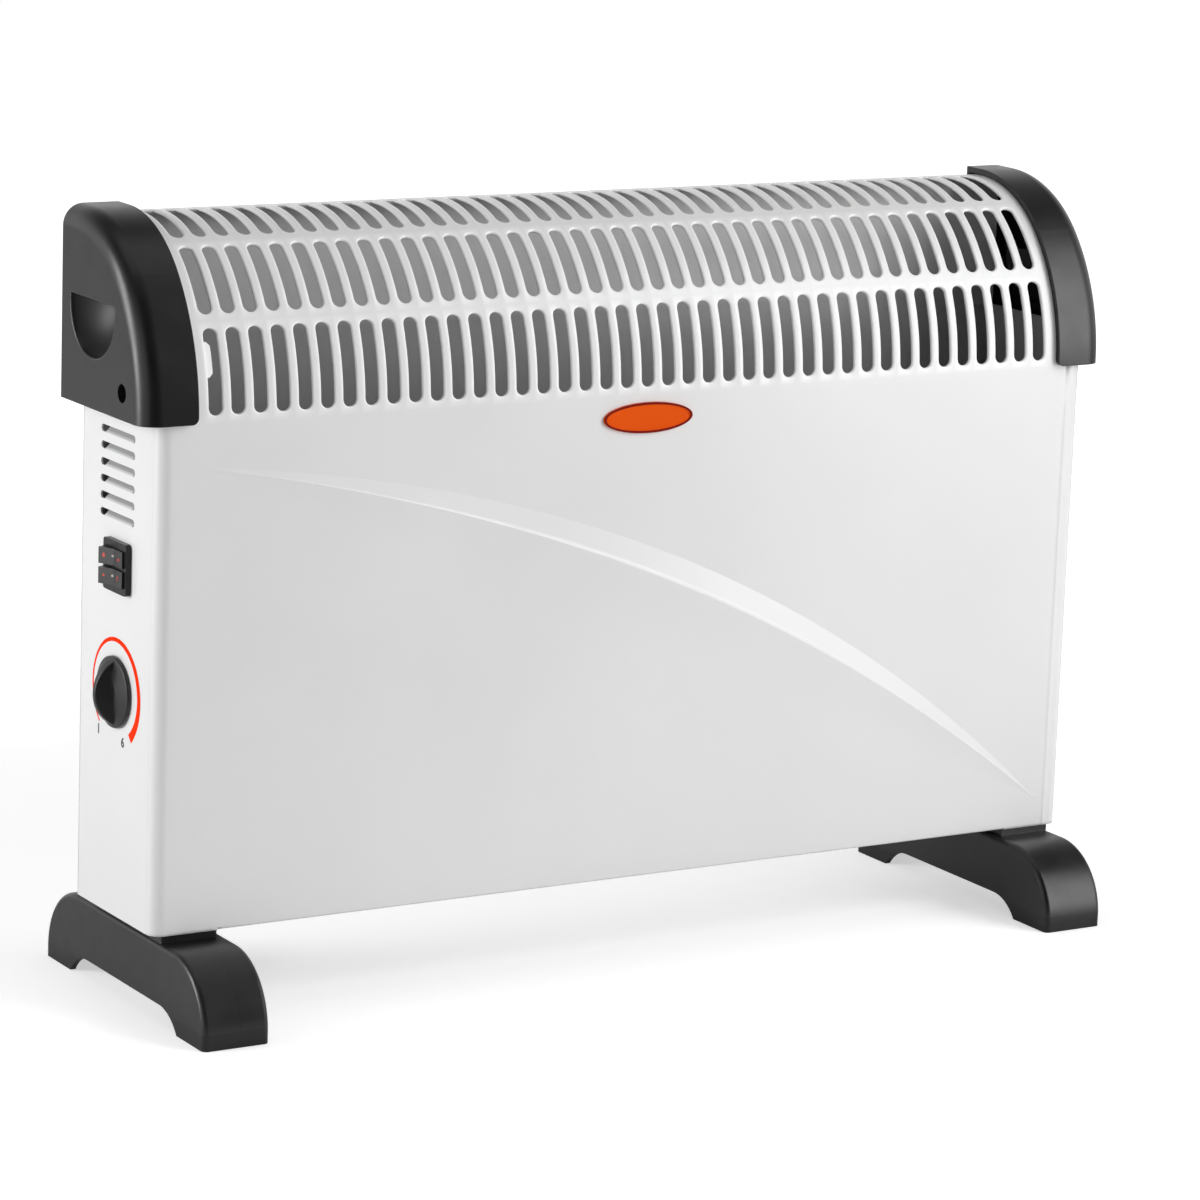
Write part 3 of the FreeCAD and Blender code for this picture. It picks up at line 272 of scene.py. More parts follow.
# one finish for each material slot of the record:
# name, effect and its values, bump depth in mm, shader values, softened edge in mm
finishes = {
    "white_sheet": ("whitePowderCoat", "powderCoat", {
        "Paint": (0.832, 0.834, 0.832, 1), "Shaded Paint": (0.802, 0.804, 0.804, 1), "Peel Scale": 620.0,
        "Rough Low": 0.19, "Rough High": 0.25}, 0.006, {"Specular IOR Level": 0.5}),
    "bare_sheet": ("zincSheet", "drawnMetal", {
        "Deep": grey(0.42), "Pale": grey(0.6), "Streak Scale": 260.0,
        "Rough Low": 0.32, "Rough High": 0.5}, 0.01, {"Metallic": 1.0}),
    "black_moulding": ("satinBlackMoulding", "mouldGrain", {
        "Deep": grey(0.006), "Pale": grey(0.009), "Grain Scale": 2200.0,
        "Rough Low": 0.3, "Rough High": 0.36}, 0.006, {"Specular IOR Level": 0.5}, 0.6),
    "screw_steel": ("screwSteel", "drawnMetal", {
        "Deep": grey(0.38), "Pale": grey(0.55), "Streak Scale": 700.0,
        "Rough Low": 0.25, "Rough High": 0.42}, 0.008, {"Metallic": 1.0}),
    "switch_moulding": ("switchBezelBlack", "mouldGrain", {
        "Deep": grey(0.006), "Pale": grey(0.009), "Grain Scale": 2600.0,
        "Rough Low": 0.3, "Rough High": 0.36}, 0.006, {"Specular IOR Level": 0.35}, 0.4),
    "rocker_moulding": ("rockerGrey", "mouldGrain", {
        "Deep": grey(0.013), "Pale": grey(0.02), "Grain Scale": 3000.0,
        "Rough Low": 0.285, "Rough High": 0.34}, 0.004, {"Specular IOR Level": 0.5}, 0.3),
    "knob_moulding": ("knobBlack", "mouldGrain", {
        "Deep": grey(0.006), "Pale": grey(0.009), "Grain Scale": 2400.0,
        "Rough Low": 0.285, "Rough High": 0.34}, 0.004, {"Specular IOR Level": 0.5}, 0.5),
    "terminal_brass": ("terminalBrass", "drawnMetal", {
        "Deep": (0.5, 0.33, 0.13, 1), "Pale": (0.68, 0.48, 0.2, 1), "Streak Scale": 500.0,
        "Rough Low": 0.25, "Rough High": 0.42}, 0.006, {"Metallic": 1.0}),
    "heat_resistant_moulding": ("bakedResin", "mouldGrain", {
        "Deep": (0.035, 0.028, 0.022, 1), "Pale": (0.06, 0.048, 0.038, 1), "Grain Scale": 1500.0,
        "Rough Low": 0.4, "Rough High": 0.55}, 0.01, {"Specular IOR Level": 0.5}),
    "element_sheath": ("heatedSheath", "drawnMetal", {
        "Deep": (0.16, 0.15, 0.16, 1), "Pale": (0.34, 0.32, 0.31, 1), "Streak Scale": 200.0,
        "Rough Low": 0.35, "Rough High": 0.6}, 0.012, {"Metallic": 1.0}),
    "ceramic": ("unglazedCeramic", "mouldGrain", {
        "Deep": (0.68, 0.65, 0.58, 1), "Pale": (0.78, 0.75, 0.69, 1), "Grain Scale": 1300.0,
        "Rough Low": 0.6, "Rough High": 0.8}, 0.012, {"Specular IOR Level": 0.4}),
    "gland_moulding": ("glandBlack", "mouldGrain", {
        "Deep": grey(0.013), "Pale": grey(0.02), "Grain Scale": 2400.0,
        "Rough Low": 0.38, "Rough High": 0.48}, 0.01, {"Specular IOR Level": 0.5}),
    "wire_insulation": ("wireSleeve", "mouldGrain", {
        "Deep": (0.55, 0.53, 0.48, 1), "Pale": (0.66, 0.64, 0.6, 1), "Grain Scale": 1800.0,
        "Rough Low": 0.42, "Rough High": 0.55}, 0.008, {"Specular IOR Level": 0.5}),
}
materials = {slot: makeFinish(*finish) for slot, finish in finishes.items()}


# feet: black moulding with a faint darker parting line, and painted shade in a band just above the floor
footFinish = {"lineAt": 252.0, "lineWidth": 0.35, "shadeTop": 8.6, "shadeBlend": 0.5,   # mm
              "lineAndShadeTint": grey(0.001)}


def makeFootFinish(look):
    material = makeFinish("footMoulding", "mouldGrain", {
        "Deep": grey(0.007), "Pale": grey(0.011), "Grain Scale": 2000.0,
        "Rough Low": 0.3, "Rough High": 0.38}, 0.006, {"Specular IOR Level": 0.5}, 0.5)
    tree, surface, group = openFinish(material)
    axes = objectAxes(tree)
    across = addMath(tree, "SUBTRACT", addMath(tree, "ABSOLUTE", axes["X"]), look["lineAt"] * mm)
    line = addRange(tree, addMath(tree, "ABSOLUTE", across), 0.0, look["lineWidth"] * mm, 1.0, 0.0)
    shadeStart = look["shadeTop"] - look["shadeBlend"]
    # painted shade: darker base colour up to the band's top
    band = addRange(tree, axes["Z"], shadeStart * mm, look["shadeTop"] * mm, 1.0, 0.0)
    lineAndShade = addMath(tree, "MAXIMUM", line, band)
    colour = addTint(tree, lineAndShade, group.outputs["Colour"], look["lineAndShadeTint"])
    tree.links.new(colour, surface.inputs["Base Color"])
    return material


materials["foot_moulding"] = makeFootFinish(footFinish)


# end caps: their moulding is more matt inside the hand grips
gripFinish = {   # middle along Y, rise above the cap's lower edge, depth behind its outer face, mm
    "middle": 13.0, "half": 25.5, "top": 54.0, "tall": 29.5,
    "start": 0.8, "full": 2.5, "blend": 0.5, "rough": 0.5,
}


def makeCapFinish(node, look):
    material = makeFinish(node + "Moulding", *finishes["black_moulding"][1:])
    tree, surface, group = openFinish(material)
    axes = objectAxes(tree)
    low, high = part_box(node)
    outer = max(-low.x, high.x)
    side = addMath(tree, "ABSOLUTE", axes["X"])
    matt = addRange(tree, side, outer - look["start"] * mm, outer - look["full"] * mm)
    halfTall = look["tall"] / 2
    middleZ = low.z + (look["top"] - halfTall) * mm
    for axis, middle, half in (("Y", look["middle"] * mm, look["half"]), ("Z", middleZ, halfTall)):
        away = addMath(tree, "ABSOLUTE", addMath(tree, "SUBTRACT", axes[axis], middle))
        within = addRange(tree, away, half * mm, (half + look["blend"]) * mm, 1.0, 0.0)
        matt = addMath(tree, "MULTIPLY", matt, within)
    rough = addRange(tree, matt, 0.0, 1.0, group.outputs["Roughness"], look["rough"])
    tree.links.new(rough, surface.inputs["Roughness"])
    return material


# badge: orange enamel in the recess, dark red on the raised rim
badgeFinish = {
    "orange": (0.84, 0.098, 0.0, 1), "deepOrange": (0.76, 0.075, 0.0, 1), "rim": (0.2, 0.008, 0.004, 1),
    "rimFull": 0.1, "rimEnd": 0.35,   # depths behind the rim's front, mm
}


def makeBadgeFinish(look):
    material = makeFinish("badgeEnamel", "mouldGrain", {
        "Deep": look["deepOrange"], "Pale": look["orange"], "Grain Scale": 900.0,
        "Rough Low": 0.3, "Rough High": 0.4}, 0.004, {"Specular IOR Level": 0.06})
    tree, surface, group = openFinish(material)
    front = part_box("oval_badge")[0].y
    rim = addRange(tree, objectAxes(tree)["Y"], front + look["rimFull"] * mm, front + look["rimEnd"] * mm,
                   1.0, 0.0)
    colour = addTint(tree, rim, group.outputs["Colour"], look["rim"])
    tree.links.new(colour, surface.inputs["Base Color"])
    return material


materials["orange_badge"] = makeBadgeFinish(badgeFinish)


# sides and rear: white outside only; behind the outer face a grey primer tint, darkened further as painted
# shade of the casing's interior, and on the rear panel bands of painted shade
primerAndShade = {   # depths from the outer face and heights, mm
    "left_side_panel": {"axis": "X", "start": 0.04, "full": 1.3, "tint": (0.40, 0.40, 0.405, 1)},
    "right_side_panel": {"axis": "X", "start": -0.04, "full": -1.3, "tint": (0.3, 0.3, 0.302, 1)},
    "rear_panel": {"axis": "Y", "start": -0.35, "full": -0.65, "tint": (0.7, 0.7, 0.705, 1),
                   "shadeTint": (0.41, 0.41, 0.41, 1), "shadeLow": (342.0, 331.0), "shadeHigh": (376.0, 390.0)},
}


def makePrimedShadedFinish(node, look):
    material = makeFinish(node + "Paint", *finishes["white_sheet"][1:])
    tree, surface, group = openFinish(material)
    axes = objectAxes(tree)
    axis = look["axis"]
    low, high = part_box(node)
    outer = (low if look["start"] > 0 else high)["XYZ".index(axis)]
    inside = addRange(tree, axes[axis], outer + look["start"] * mm, outer + look["full"] * mm)
    tint = look["tint"]
    # painted shade: the rear panel's inner face is darker from 342 mm down to 331 mm and from 376 mm up to
    # 390 mm
    if "shadeTint" in look:
        lower = addRange(tree, axes["Z"], *(height * mm for height in look["shadeLow"]))
        upper = addRange(tree, axes["Z"], *(height * mm for height in look["shadeHigh"]))
        tint = addTint(tree, addMath(tree, "MAXIMUM", lower, upper), tint, look["shadeTint"])
    # behind the outer face: grey primer, darkened as painted shade of the interior
    colour = addTint(tree, inside, group.outputs["Colour"], tint)
    tree.links.new(colour, surface.inputs["Base Color"])
    return material


ownFinish = {node: makePrimedShadedFinish(node, look) for node, look in primerAndShade.items()}
for capNode in ("left_end_cap", "right_end_cap"):
    ownFinish[capNode] = makeCapFinish(capNode, gripFinish)
# control partition: grey primer, darkened as painted shade so the first slot looks as deep as the others
ownFinish["control_partition"] = makeFinish("partitionPrimerShade", "powderCoat", {
    "Paint": grey(0.62), "Shaded Paint": grey(0.56), "Peel Scale": 620.0,
    "Rough Low": 0.4, "Rough High": 0.5}, 0.006, {"Specular IOR Level": 0.4})

for part in frame["record"]["subparts"]:
    nodeObject = nodes[part["node"]]
    nodeObject.data.materials.clear()
    finish = ownFinish.get(part["node"], materials[part["material_slot"]])
    nodeObject.data.materials.append(finish)


def linkMesh(name, points, faces, finish):
    mesh = bpy.data.meshes.new(name)
    mesh.from_pydata(points, [], faces)
    mesh.update()
    mesh.materials.append(finish)
    piece = bpy.data.objects.new(name, mesh)
    scene.collection.objects.link(piece)
    return piece


def turnOutwards(piece):   # for closed meshes
    shape = bmesh.new()
    shape.from_mesh(piece.data)
    bmesh.ops.recalc_face_normals(shape, faces=shape.faces)
    shape.to_mesh(piece.data)
    shape.free()


# front panel: one sheet, with rolled-in slots, the pressed sweep, rounded corners, hem and rear lip
panel = {
    "lowerRadius": 105.0, "lowerTurn": 40.0, "crownRun": 10.3,   # profile, mm and degrees
    "rearBend": 1.2, "rearLip": 11.0, "footBend": 1.5, "hem": 13.0, "hemReach": 243.3, "bendSteps": 4,
    "corner": 7.0, "cornerSteps": 8, "cornerRise": 14.0, "lap": 0.45, "lapProud": 0.04,
    "creaseIn": 3.4, "creaseHalf": 0.45, "creaseProud": 0.24, "sheet": 0.8, "merge": 0.01,
    "columns": 41, "pitch": 12.35, "opening": 7.5, "roll": 1.0, "slotDepth": 1.6, "taper": 0.05,   # slots, mm
    "slotArcs": ((0.7, 25.4), (28.2, 56.2), (60.4, 95.0)),   # degrees up the curve
    "rowEnds": (-1.6, 48.9, 95.6, 142.4),   # mm along the sheet
    "rollDegrees": (0, 30, 60, 90), "endSteps": 4, "arcSteps": 3, "straightSteps": 8, "stripSteps": 3,
    "highlightRings": (0.0, 0.35, 1.0, 1.0, 0.8, 0.0), "rimHighlightTint": (0.985, 0.985, 0.98, 1),   # share of painted highlight by ring
}
sweep = {   # the pressed crescent: ends measured from the panel's edges, mm
    "leftIn": 22.6, "leftDown": 23.0, "rightIn": 16.5, "rightUp": 16.0,
    "upperBow": 48.3, "crestBow": 35.0, "skew": 0.05, "samples": 240,
    "slope": 0.108, "lip": 0.044, "endShare": 0.06, "leastLower": 1.6, "leastFacet": 0.96,
    "facetShares": (0.0, 0.05, 0.1, 0.2, 0.4, 0.7), "lipShare": 0.1,   # rows across the facet above the crest
    "flatRows": 12, "lowerRows": 8, "topRows": 10,
}
panelLow, panelHigh = boxMm("front_panel")
frontY = boxMm("oval_badge")[1].y   # the badge's back lies on the flat front
wallX = boxMm("left_side_panel")[0].x
halfWidth = -wallX
hair = 0.001   # mm, for comparing places
topZ = panelHigh.z
bottomZ = panelLow.z
rearFaceY = panelHigh.y
print("panel from the frame: front", round(frontY, 2), "half width", round(halfWidth, 2),
      "top", round(topZ, 2), "bottom", round(bottomZ, 2), "rear", round(rearFaceY, 2))

turn = math.radians(panel["lowerTurn"])
crownY = rearFaceY - panel["crownRun"]
upperRadius = panel["lowerRadius"] - (frontY + panel["lowerRadius"] - crownY) / math.cos(turn)
centreDrop = (panel["lowerRadius"] - upperRadius) * math.sin(turn)
curveZ = topZ - upperRadius - centreDrop
lowerLength = panel["lowerRadius"] * turn
pastTop = math.asin((panel["crownRun"] - panel["rearBend"]) / (upperRadius - panel["rearBend"]))
arcEnd = math.pi / 2 + pastTop
arcLength = lowerLength + upperRadius * (arcEnd - turn)
bendLength = panel["rearBend"] * (math.pi - arcEnd)


def arcAt(degrees):   # length along the sheet, from where the curve starts
    angle = math.radians(degrees)
    if angle < turn:
        return panel["lowerRadius"] * angle
    return lowerLength + upperRadius * (angle - turn)


def sheetPoint(along):   # Y, Z and the outward normal at a length along the sheet
    if along <= 0:
        return frontY, curveZ + along, -1.0, 0.0
    if along <= arcLength:
        if along <= lowerLength:
            angle, radius = along / panel["lowerRadius"], panel["lowerRadius"]
            centre = (frontY + radius, curveZ)
        else:
            angle, radius = turn + (along - lowerLength) / upperRadius, upperRadius
            centre = (crownY, curveZ + centreDrop)
        normal = (-math.cos(angle), math.sin(angle))
        return centre[0] + radius * normal[0], centre[1] + radius * normal[1], normal[0], normal[1]
    along -= arcLength
    bend = panel["rearBend"]
    reach = upperRadius - bend
    angle = min(arcEnd + along / bend, math.pi)
    normal = (-math.cos(angle), math.sin(angle))
    drop = max(0.0, along - bendLength)
    y = crownY - reach * math.cos(arcEnd) + bend * normal[0]
    z = curveZ + centreDrop + reach * math.sin(arcEnd) + bend * normal[1] - drop
    return y, z, normal[0], normal[1]


def sheetSpot(x, along, depth=0.0):
    y, z, outY, outZ = sheetPoint(along)
    return (x * mm, (y - outY * depth) * mm, (z - outZ * depth) * mm)


def sweepCurves(look):
    start = np.array((-halfWidth + look["leftIn"], curveZ - look["leftDown"]))
    end = np.array((halfWidth - look["rightIn"], bottomZ + look["rightUp"]))
    chord = end - start
    across = np.array((-chord[1], chord[0])) / np.linalg.norm(chord)
    share = np.linspace(0, 1, look["samples"])
    swell = 4 * share * (1 - share)   # 1 at the middle, 0 at both ends
    curves = {"swell": swell}
    for name, bow in (("lower", 0.0), ("crest", look["crestBow"]), ("upper", look["upperBow"])):
        offset = bow * swell * (1 + look["skew"] * (2 * share - 1))
        curves[name] = start + np.outer(share, chord) + np.outer(offset, across)
    return curves


# one ring of a slot, anticlockwise from the lower left
def slotOutline(halfReach, radius, arcSteps, endSteps, straightSteps):
    spots = []
    lower, upper = (0.0, -halfReach), (0.0, halfReach)

    def arc(centre, first, last, steps):
        for step in range(steps):
            angle = math.radians(first + (last - first) * step / steps)
            spots.append((centre[0] + radius * math.cos(angle), centre[1] + radius * math.sin(angle)))

    def straight(x, first, last):
        for step in range(straightSteps):
            spots.append((x, first + (last - first) * step / straightSteps))

    arc(lower, 225, 315, endSteps)
    arc(lower, 315, 360, arcSteps)
    straight(radius, -halfReach, halfReach)
    arc(upper, 0, 45, arcSteps)
    arc(upper, 45, 135, endSteps)
    arc(upper, 135, 180, arcSteps)
    straight(-radius, halfReach, -halfReach)
    arc(lower, 180, 225, arcSteps)
    return spots


# as many spots again, on the edge of the slot's cell
def cellOutline(halfPitch, low, high, halfReach, arcSteps, endSteps, straightSteps):
    def line(first, last, steps):
        return [first + (last - first) * step / steps for step in range(steps)]

    spots = [(x, low) for x in line(-halfPitch, halfPitch, endSteps)]
    spots += [(halfPitch, s) for s in line(low, -halfReach, arcSteps)]
    spots += [(halfPitch, s) for s in line(-halfReach, halfReach, straightSteps)]
    spots += [(halfPitch, s) for s in line(halfReach, high, arcSteps)]
    spots += [(x, high) for x in line(halfPitch, -halfPitch, endSteps)]
    spots += [(-halfPitch, s) for s in line(high, halfReach, arcSteps)]
    spots += [(-halfPitch, s) for s in line(halfReach, -halfReach, straightSteps)]
    spots += [(-halfPitch, s) for s in line(-halfReach, low, arcSteps)]
    return spots


def makeRolledFinish(look):   # painted highlight: the rolled slot edges are tinted whiter
    material = makeFinish("rolledSheetPaint", *finishes["white_sheet"][1:])
    tree, surface, group = openFinish(material)
    share = addNode(tree, "ShaderNodeAttribute", attribute_name="rimHighlight").outputs["Fac"]
    colour = addTint(tree, share, group.outputs["Colour"], look["rimHighlightTint"])
    tree.links.new(colour, surface.inputs["Base Color"])
    return material


materials["rolledSheet"] = makeRolledFinish(panel)


def buildPanel(look, crescent):
    points, faces, rimHighlight = [], [], {}
    endSteps, arcSteps, straightSteps = look["endSteps"], look["arcSteps"], look["straightSteps"]
    counts = (arcSteps, endSteps, straightSteps)

    def addGrid(grid):
        width = len(grid[0])
        first = len(points)
        for row in grid:
            points.extend(row)
        for row in range(len(grid) - 1):
            for column in range(width - 1):
                corner = first + row * width + column
                faces.append((corner, corner + 1, corner + width + 1, corner + width))
        return first

    # slots, three rows of rolled openings
    edgeLengths = []   # lengths along the sheet that the side strips share with the cells
    for row, (firstDegree, lastDegree) in enumerate(look["slotArcs"]):
        first, last = arcAt(firstDegree), arcAt(lastDegree)
        middle = (first + last) / 2
        outerRadius = look["opening"] / 2 + look["roll"]
        halfReach = (last - first) / 2 - outerRadius
        low, high = look["rowEnds"][row] - middle, look["rowEnds"][row + 1] - middle
        rings = [(cellOutline(look["pitch"] / 2, low, high, halfReach, *counts), 0.0)]
        for degree in look["rollDegrees"]:
            lean = math.radians(degree)
            radius = look["opening"] / 2 + look["roll"] * (1 - math.sin(lean))
            rings.append((slotOutline(halfReach, radius, *counts), look["roll"] * (1 - math.cos(lean))))
        throat = look["opening"] / 2 - look["taper"]
        rings.append((slotOutline(halfReach, throat, *counts), look["slotDepth"]))
        sideSpots = [s for x, s in rings[0][0][endSteps:endSteps + 2 * arcSteps + straightSteps]]
        edgeLengths += [middle + s for s in sideSpots]
        for column in range(look["columns"]):
            centre = (column - (look["columns"] - 1) / 2) * look["pitch"]
            first = len(points)
            count = len(rings[0][0])
            for ring, (spots, depth) in enumerate(rings):
                for x, s in spots:
                    # painted highlight share for this ring of the rolled edge
                    rimHighlight[len(points)] = look["highlightRings"][ring]
                    points.append(sheetSpot(centre + x, middle + s, depth))
            for ring in range(len(rings) - 1):
                for step in range(count):
                    following = (step + 1) % count
                    base = first + ring * count
                    inner = base + count
                    faces.append((base + step, base + following, inner + following, inner + step))
    edgeLengths.append(look["rowEnds"][-1])

    # strips beside the slots, and the rounded corners below the caps
    slotEdge = look["columns"] * look["pitch"] / 2
    straightEdge = halfWidth - look["corner"]
    stripWidth = straightEdge - slotEdge
    stripSteps = look["stripSteps"]
    stripColumns = [slotEdge + stripWidth * step / stripSteps for step in range(stripSteps + 1)]
    for side in (-1, 1):
        addGrid([[sheetSpot(side * x, s) for x in stripColumns] for s in edgeLengths])

    # crown, rear bend and lip
    bendSteps = look["bendSteps"]
    edgeCount = look["columns"] * endSteps + 1
    columnEdges = [-slotEdge + look["pitch"] * step / endSteps for step in range(edgeCount)]
    crownColumns = [-x for x in reversed(stripColumns)] + columnEdges[1:-1] + stripColumns
    lastLength = arcLength + bendLength + look["rearLip"] - look["rearBend"]
    crownLengths = [look["rowEnds"][-1]]
    crownLengths += [arcLength + bendLength * step / bendSteps for step in range(bendSteps + 1)]
    crownLengths.append(lastLength)
    addGrid([[sheetSpot(x, s) for x in crownColumns] for s in crownLengths])

    # flat front, with rows that follow the crescent's three curves
    curves = sweepCurves(crescent)
    columns = [(x, 0.0) for x in crownColumns]
    crease = straightEdge - look["creaseIn"]   # fine bend line beside the right corner
    creaseHalf = look["creaseHalf"]
    columns[-1:-1] = [(crease - creaseHalf, 0.0), (crease, -look["creaseProud"]), (crease + creaseHalf, 0.0)]
    for step in range(1, look["cornerSteps"] + 1):
        angle = math.pi / 2 * step / look["cornerSteps"]
        reach = straightEdge + look["corner"] * math.sin(angle)
        inward = look["corner"] * (1 - math.cos(angle))
        columns.insert(0, (-reach, inward))
        columns.append((reach, inward))
    lap = (halfWidth + look["lapProud"], look["corner"] + look["lap"])
    columns.insert(0, (-lap[0], lap[1]))
    columns.append(lap)
    flatTop = curveZ + look["rowEnds"][0]
    flatBottom = bottomZ + look["footBend"]
    grid = []
    edgeRows = []
    plan = (("flat", crescent["flatRows"]), ("lower", crescent["lowerRows"]),
            ("facet", len(crescent["facetShares"])), ("top", crescent["topRows"]))
    for band, steps in plan:
        for step in range(steps + (1 if band == "top" else 0)):
            t = crescent["facetShares"][step] if band == "facet" else step / steps
            row = []
            if band in ("facet", "top") and step == 0:
                edgeRows.append(len(grid))
            for x, inward in columns:
                low = np.interp(x, curves["lower"][:, 0], curves["lower"][:, 1])
                crest = np.interp(x, curves["crest"][:, 0], curves["crest"][:, 1])
                up = np.interp(x, curves["upper"][:, 0], curves["upper"][:, 1])
                swell = np.interp(x, curves["crest"][:, 0], curves["swell"])
                low = min(low, crest - crescent["leastLower"])
                up = max(up, crest + crescent["leastFacet"])
                width = (up - crest) * min(1.0, swell / crescent["endShare"])
                rise = width * (crescent["slope"] + crescent["lip"])
                lift = 0.0
                if band == "flat":
                    z = flatBottom + (low - flatBottom) * t
                elif band == "lower":
                    z = low + (crest - low) * t
                    lift = rise * (1.5 * t * t - 0.5 * t ** 3)   # tangent to the flat, straight at the crest
                elif band == "facet":
                    z = crest + (up - crest) * t
                    lip = max(0.0, 1 - t / crescent["lipShare"])
                    lift = width * (crescent["slope"] * (1 - t) + crescent["lip"] * lip)
                else:
                    z = up + (flatTop - up) * t
                row.append((x * mm, (frontY + inward - lift) * mm, z * mm))
            grid.append(row)
    flatFirst = addGrid(grid)
    crispStarts = [flatFirst + row * len(columns) for row in edgeRows]

    # corners carried up behind the caps
    lengths = [s for s in edgeLengths if s < look["cornerRise"]]
    for side in (-1, 1):
        corner = [(x * side, inward) for x, inward in columns if x * side >= straightEdge - hair]
        corner.sort()
        rows = []
        for s in lengths:
            y, z = sheetPoint(s)[:2]
            rows.append([(side * x * mm, (y + inward) * mm, z * mm) for x, inward in corner])
        addGrid(rows)

    # bottom bend with its hem between the feet, plain edge beside it
    bend = look["footBend"]
    hemColumns = [(x, inward) for x, inward in columns if abs(x) <= look["hemReach"]]
    rows = []
    for step in range(bendSteps + 1):
        angle = math.pi / 2 * step / bendSteps
        y = frontY + bend * (1 - math.cos(angle))
        z = bottomZ + bend * (1 - math.sin(angle))
        rows.append([(x * mm, y * mm, z * mm) for x, inward in hemColumns])
    rows.append([(x * mm, (frontY + look["hem"]) * mm, bottomZ * mm) for x, inward in hemColumns])
    addGrid(rows)
    for side in (-1, 1):
        plain = [(x, inward) for x, inward in columns if x * side >= abs(hemColumns[-1][0]) - hair]
        rows = []
        for z in (flatBottom, bottomZ):
            rows.append([(x * mm, (frontY + inward) * mm, z * mm) for x, inward in plain])
        addGrid(rows)

    piece = linkMesh("slottedFrontPanel", points, faces, materials["rolledSheet"])
    # painted highlight on the rolled slot edges, read by the rolled finish
    highlightShare = piece.data.attributes.new("rimHighlight", "FLOAT", "POINT")
    for index, share in rimHighlight.items():
        highlightShare.data[index].value = share
    shape = bmesh.new()
    shape.from_mesh(piece.data)
    shape.verts.ensure_lookup_table()
    for start in crispStarts:   # the facet's two edges are crisp creases
        for index in range(start, start + len(columns) - 1):
            ends = (shape.verts[index], shape.verts[index + 1])
            shape.edges.get(ends).smooth = abs(ends[0].co.x) > slotEdge * mm
    bmesh.ops.remove_doubles(shape, verts=shape.verts, dist=look["merge"] * mm)
    bmesh.ops.recalc_face_normals(shape, faces=shape.faces)
    middle = Vector((0, frontY, (flatBottom + flatTop) / 2)) * mm
    front = min(shape.faces, key=lambda face: (face.calc_center_median() - middle).length)
    if front.normal.y > 0:
        bmesh.ops.reverse_faces(shape, faces=shape.faces)
    for face in shape.faces:
        face.smooth = True
    shape.to_mesh(piece.data)
    shape.free()
    sheet = piece.modifiers.new("sheetThickness", "SOLIDIFY")
    sheet.thickness = look["sheet"] * mm
    sheet.offset = -1.0
    sheet.use_even_offset = True
    sheet.use_quality_normals = True
    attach(piece, "casing")
    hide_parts("front_panel")
    return piece


frontPanel = buildPanel(panel, sweep)
slotCount = panel["columns"] * len(panel["slotArcs"])
print("front panel:", len(frontPanel.data.polygons), "faces,", slotCount, "slots")


# tongue of the panel behind its first slot
tongue = {"firstRise": 20.9, "tall": 17.1, "root": 2.0, "reach": 3.2, "chamfer": 2.0, "depth": 1.1,   # mm
          "rows": 9}


def buildTongue(look):
    slotEdge = -(panel["columns"] - 1) / 2 * panel["pitch"] - panel["opening"] / 2
    left, right = slotEdge - look["root"], slotEdge + look["reach"]
    points, faces = [], []
    for row in range(look["rows"] + 1):
        rise = look["tall"] * row / look["rows"]
        fromEnd = min(rise, look["tall"] - rise)
        tip = right - max(0.0, look["chamfer"] - fromEnd)
        along = panel["lowerRadius"] * math.asin((look["firstRise"] + rise) / panel["lowerRadius"])
        across = (left, (left + tip) / 2, tip)
        points += [sheetSpot(x, along, look["depth"]) for x in across]
    width = len(across)
    for row in range(look["rows"]):
        for column in range(width - 1):
            corner = row * width + column
            faces.append((corner, corner + 1, corner + width + 1, corner + width))
    piece = linkMesh("slotTongue", points, faces, materials["rolledSheet"])
    # painted highlight: the whole tongue takes the whiter rim tint
    highlightShare = piece.data.attributes.new("rimHighlight", "FLOAT", "POINT")
    for spot in highlightShare.data:
        spot.value = 1.0
    sheet = piece.modifiers.new("sheetThickness", "SOLIDIFY")
    sheet.thickness = panel["sheet"] * mm
    sheet.offset = -1.0
    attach(piece, "casing")


buildTongue(tongue)
print("tongue behind the first slot")


# printed dial: tapered red sweep and two plain numerals on the left side
dial = {
    "radius": 26.4, "startDegree": -46.0, "endDegree": 231.0, "steps": 120, "ink": 0.06,
    "widths": ((0.0, 0.25, 0.5, 0.68, 0.85, 0.96, 1.0), (1.1, 1.5, 2.3, 3.4, 3.9, 4.6, 5.0)),   # share, mm
    "numeralSize": 7.0, "numeralBold": 0.22, "lowNumeral": "1", "highNumeral": "6",
    "lowSpot": (19.3, -23.4), "highSpot": (-8.6, -24.4),   # from the knob's axis, along Y and Z, mm
}
materials["dialRed"] = makeFinish("dialRed", "mouldGrain", {
    "Deep": (0.9, 0.03, 0.0, 1), "Pale": (0.98, 0.04, 0.0, 1), "Grain Scale": 1800.0,
    "Rough Low": 0.45, "Rough High": 0.55}, 0.003, {"Specular IOR Level": 0.03})
materials["dialInk"] = makeFinish("dialInk", "mouldGrain", {
    "Deep": grey(0.02), "Pale": grey(0.035), "Grain Scale": 1800.0,
    "Rough Low": 0.4, "Rough High": 0.5}, 0.004, {"Specular IOR Level": 0.5})
knobLow, knobHigh = boxMm("thermostat_knob")
knobY = (knobLow.y + knobHigh.y) / 2
knobZ = (knobLow.z + knobHigh.z) / 2


